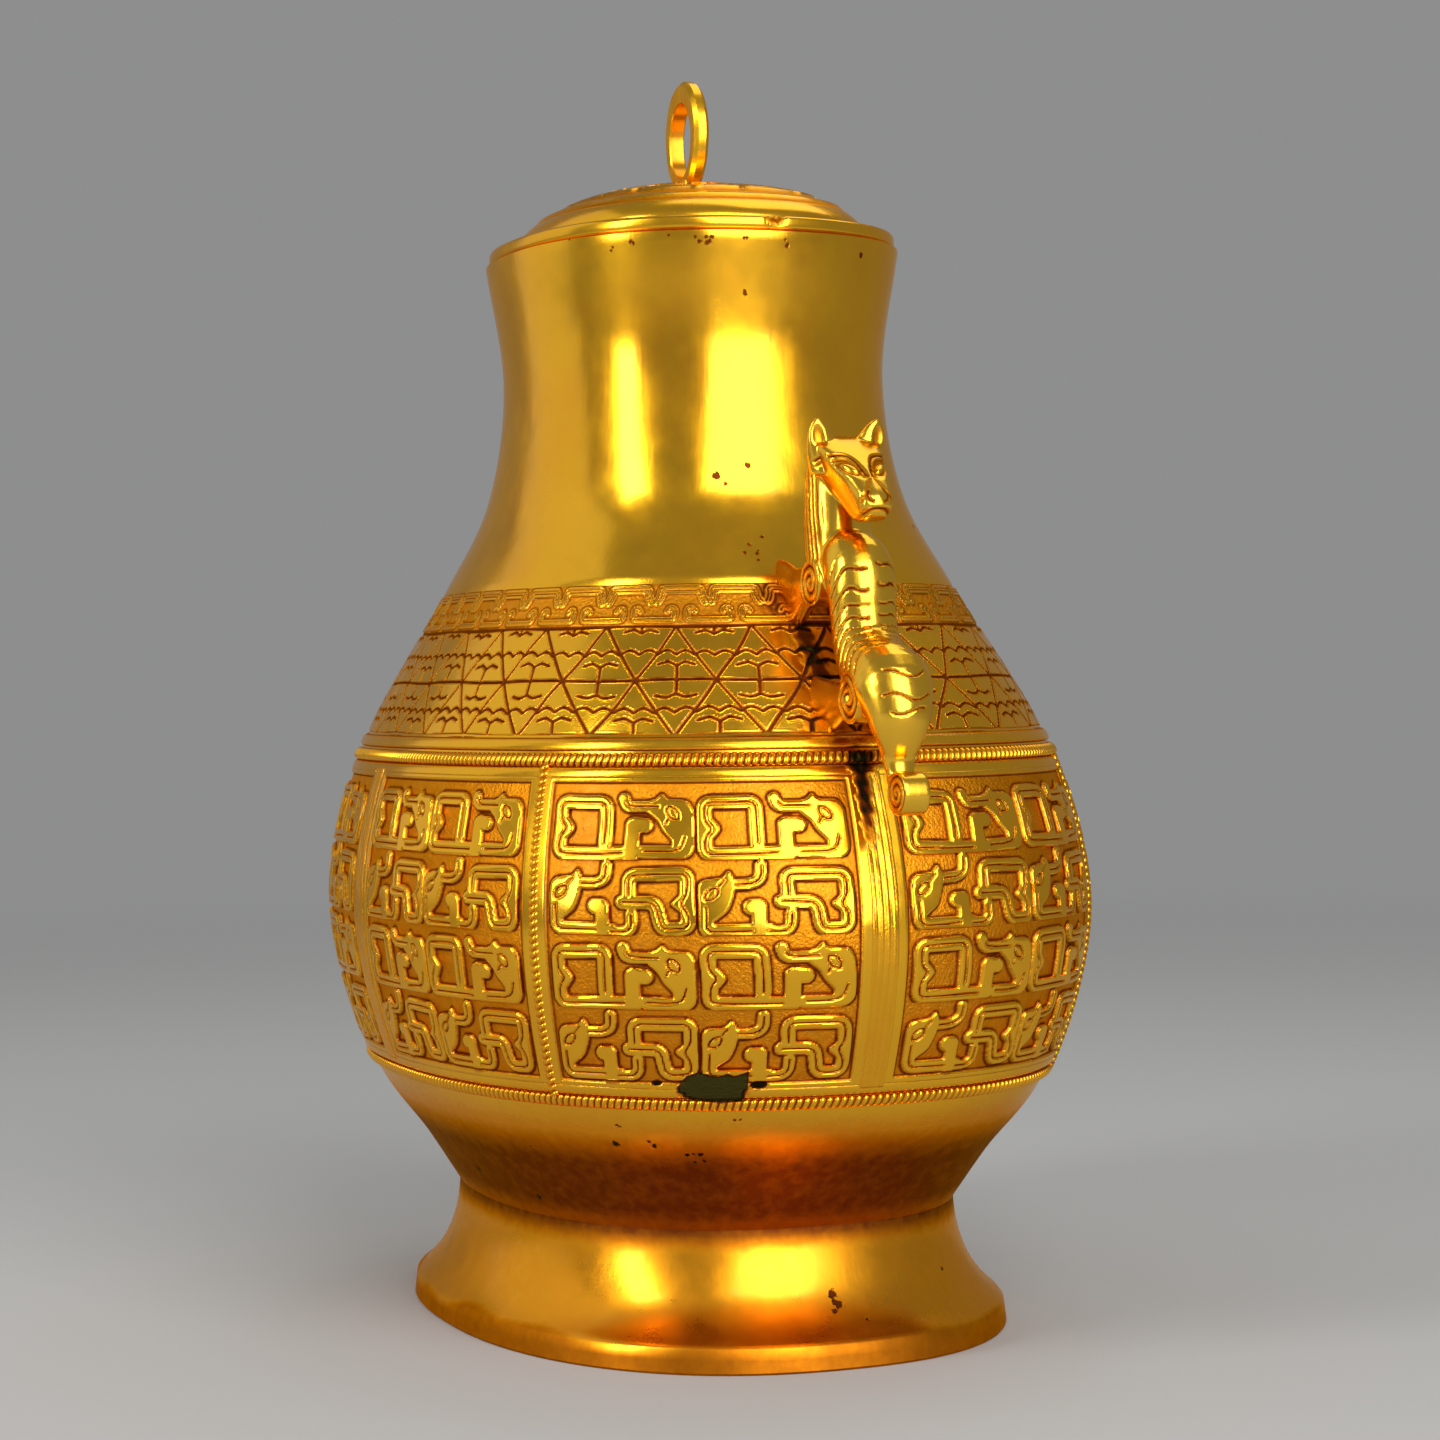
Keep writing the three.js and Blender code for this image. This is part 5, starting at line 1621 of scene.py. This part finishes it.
def floor():
    """A pale floor that far from the jar takes the shade of the air, so that no horizon shows."""
    bm = bmesh.new()
    bmesh.ops.create_grid(bm, x_segments=1, y_segments=1, size=FLOOR_HALF)
    obj = bpy.data.objects.new("studio_floor", mesh_of(bm, "studio_floor"))
    material = bpy.data.materials.new("pale_floor")
    tree = Shading(material)
    shader = tree.nodes["Principled BSDF"]
    tree.feed(shader.inputs["Base Color"], FLOOR_GREY)
    tree.feed(shader.inputs["Roughness"], FLOOR_ROUGHNESS)
    place = tree.make("TexCoord", "Object", {})
    reach = tree.make("VectorMath", "Value", {0: place}, operation="LENGTH")
    far = tree.spread(reach, FADE_FROM, FADE_TO, soft=True)
    glow = tree.make("Emission", "Emission", {"Color": SHOWN_GREY})
    mixed = tree.make("MixShader", "Shader", {"Fac": far, 1: shader.outputs["BSDF"], 2: glow})
    tree.feed(tree.nodes["Material Output"].inputs["Surface"], mixed)
    obj.data.materials.append(material)
    bpy.context.collection.objects.link(obj)


def air():
    """Even light, with the shown grey for what the camera, a mirror or a glass sees of it."""
    world = bpy.data.worlds.new("studio_air")
    bpy.context.scene.world = world
    tree = Shading(world)
    seen = 0.0
    for ray in ("Is Camera Ray", "Is Glossy Ray", "Is Transmission Ray"):
        seen = tree.calc("ADD", seen, tree.make("LightPath", ray, {}))
    back = tree.nodes["Background"].inputs
    tree.feed(back["Strength"], 1.0)
    tree.feed(back["Color"], tree.blend(seen, AIR_GREY, SHOWN_GREY))


def lamp(name, azimuth, height, distance, size, power):
    """A softbox at an azimuth counted from +X towards +Y."""
    data = bpy.data.lights.new(name, "AREA")
    data.shape = "RECTANGLE"
    data.size, data.size_y = size
    data.energy = power
    obj = bpy.data.objects.new(name, data)
    angle = math.radians(azimuth)
    obj.location = (distance * math.cos(angle), distance * math.sin(angle), height)
    way = Vector(LAMP_AIM) - obj.location
    obj.rotation_euler = way.to_track_quat("-Z", "Y").to_euler()
    bpy.context.collection.objects.link(obj)


floor()
air()
lamp("left_strip", VIEW - 57, 0.82, 1.5, (0.42, 1.2), 13)
lamp("right_softbox", VIEW + 24, 0.95, 1.7, (1.3, 1.8), 36)
lamp("left_fill", VIEW - 112, 0.95, 1.6, (1.4, 1.9), 3.4)
lamp("back_softbox", VIEW + 150, 1.6, 0.7, (1, 1), 4)

# The camera, as fitted to the photograph: metres, degrees and pixels
CAMERA_PLACE = (0.9506, -0.3640, 0.1941)
CAMERA_TILT = 0.716
CAMERA_ROLL = 0.735
FOCAL_PIXELS = 3257.3
PHOTO_PIXELS = 1440
SENSOR = 36


def camera():
    data = bpy.data.cameras.new("view")
    data.sensor_width = SENSOR
    data.lens = FOCAL_PIXELS / PHOTO_PIXELS * SENSOR
    obj = bpy.data.objects.new("view", data)
    turn = Matrix.Rotation(math.radians(90 + VIEW), 4, "Z")
    tilt = Matrix.Rotation(math.radians(90 - CAMERA_TILT), 4, "X")
    roll = Matrix.Rotation(math.radians(-CAMERA_ROLL), 4, "Z")
    obj.matrix_world = Matrix.Translation(CAMERA_PLACE) @ turn @ tilt @ roll
    bpy.context.collection.objects.link(obj)
    bpy.context.scene.camera = obj


camera()
bpy.context.scene.view_settings.view_transform = "Standard"
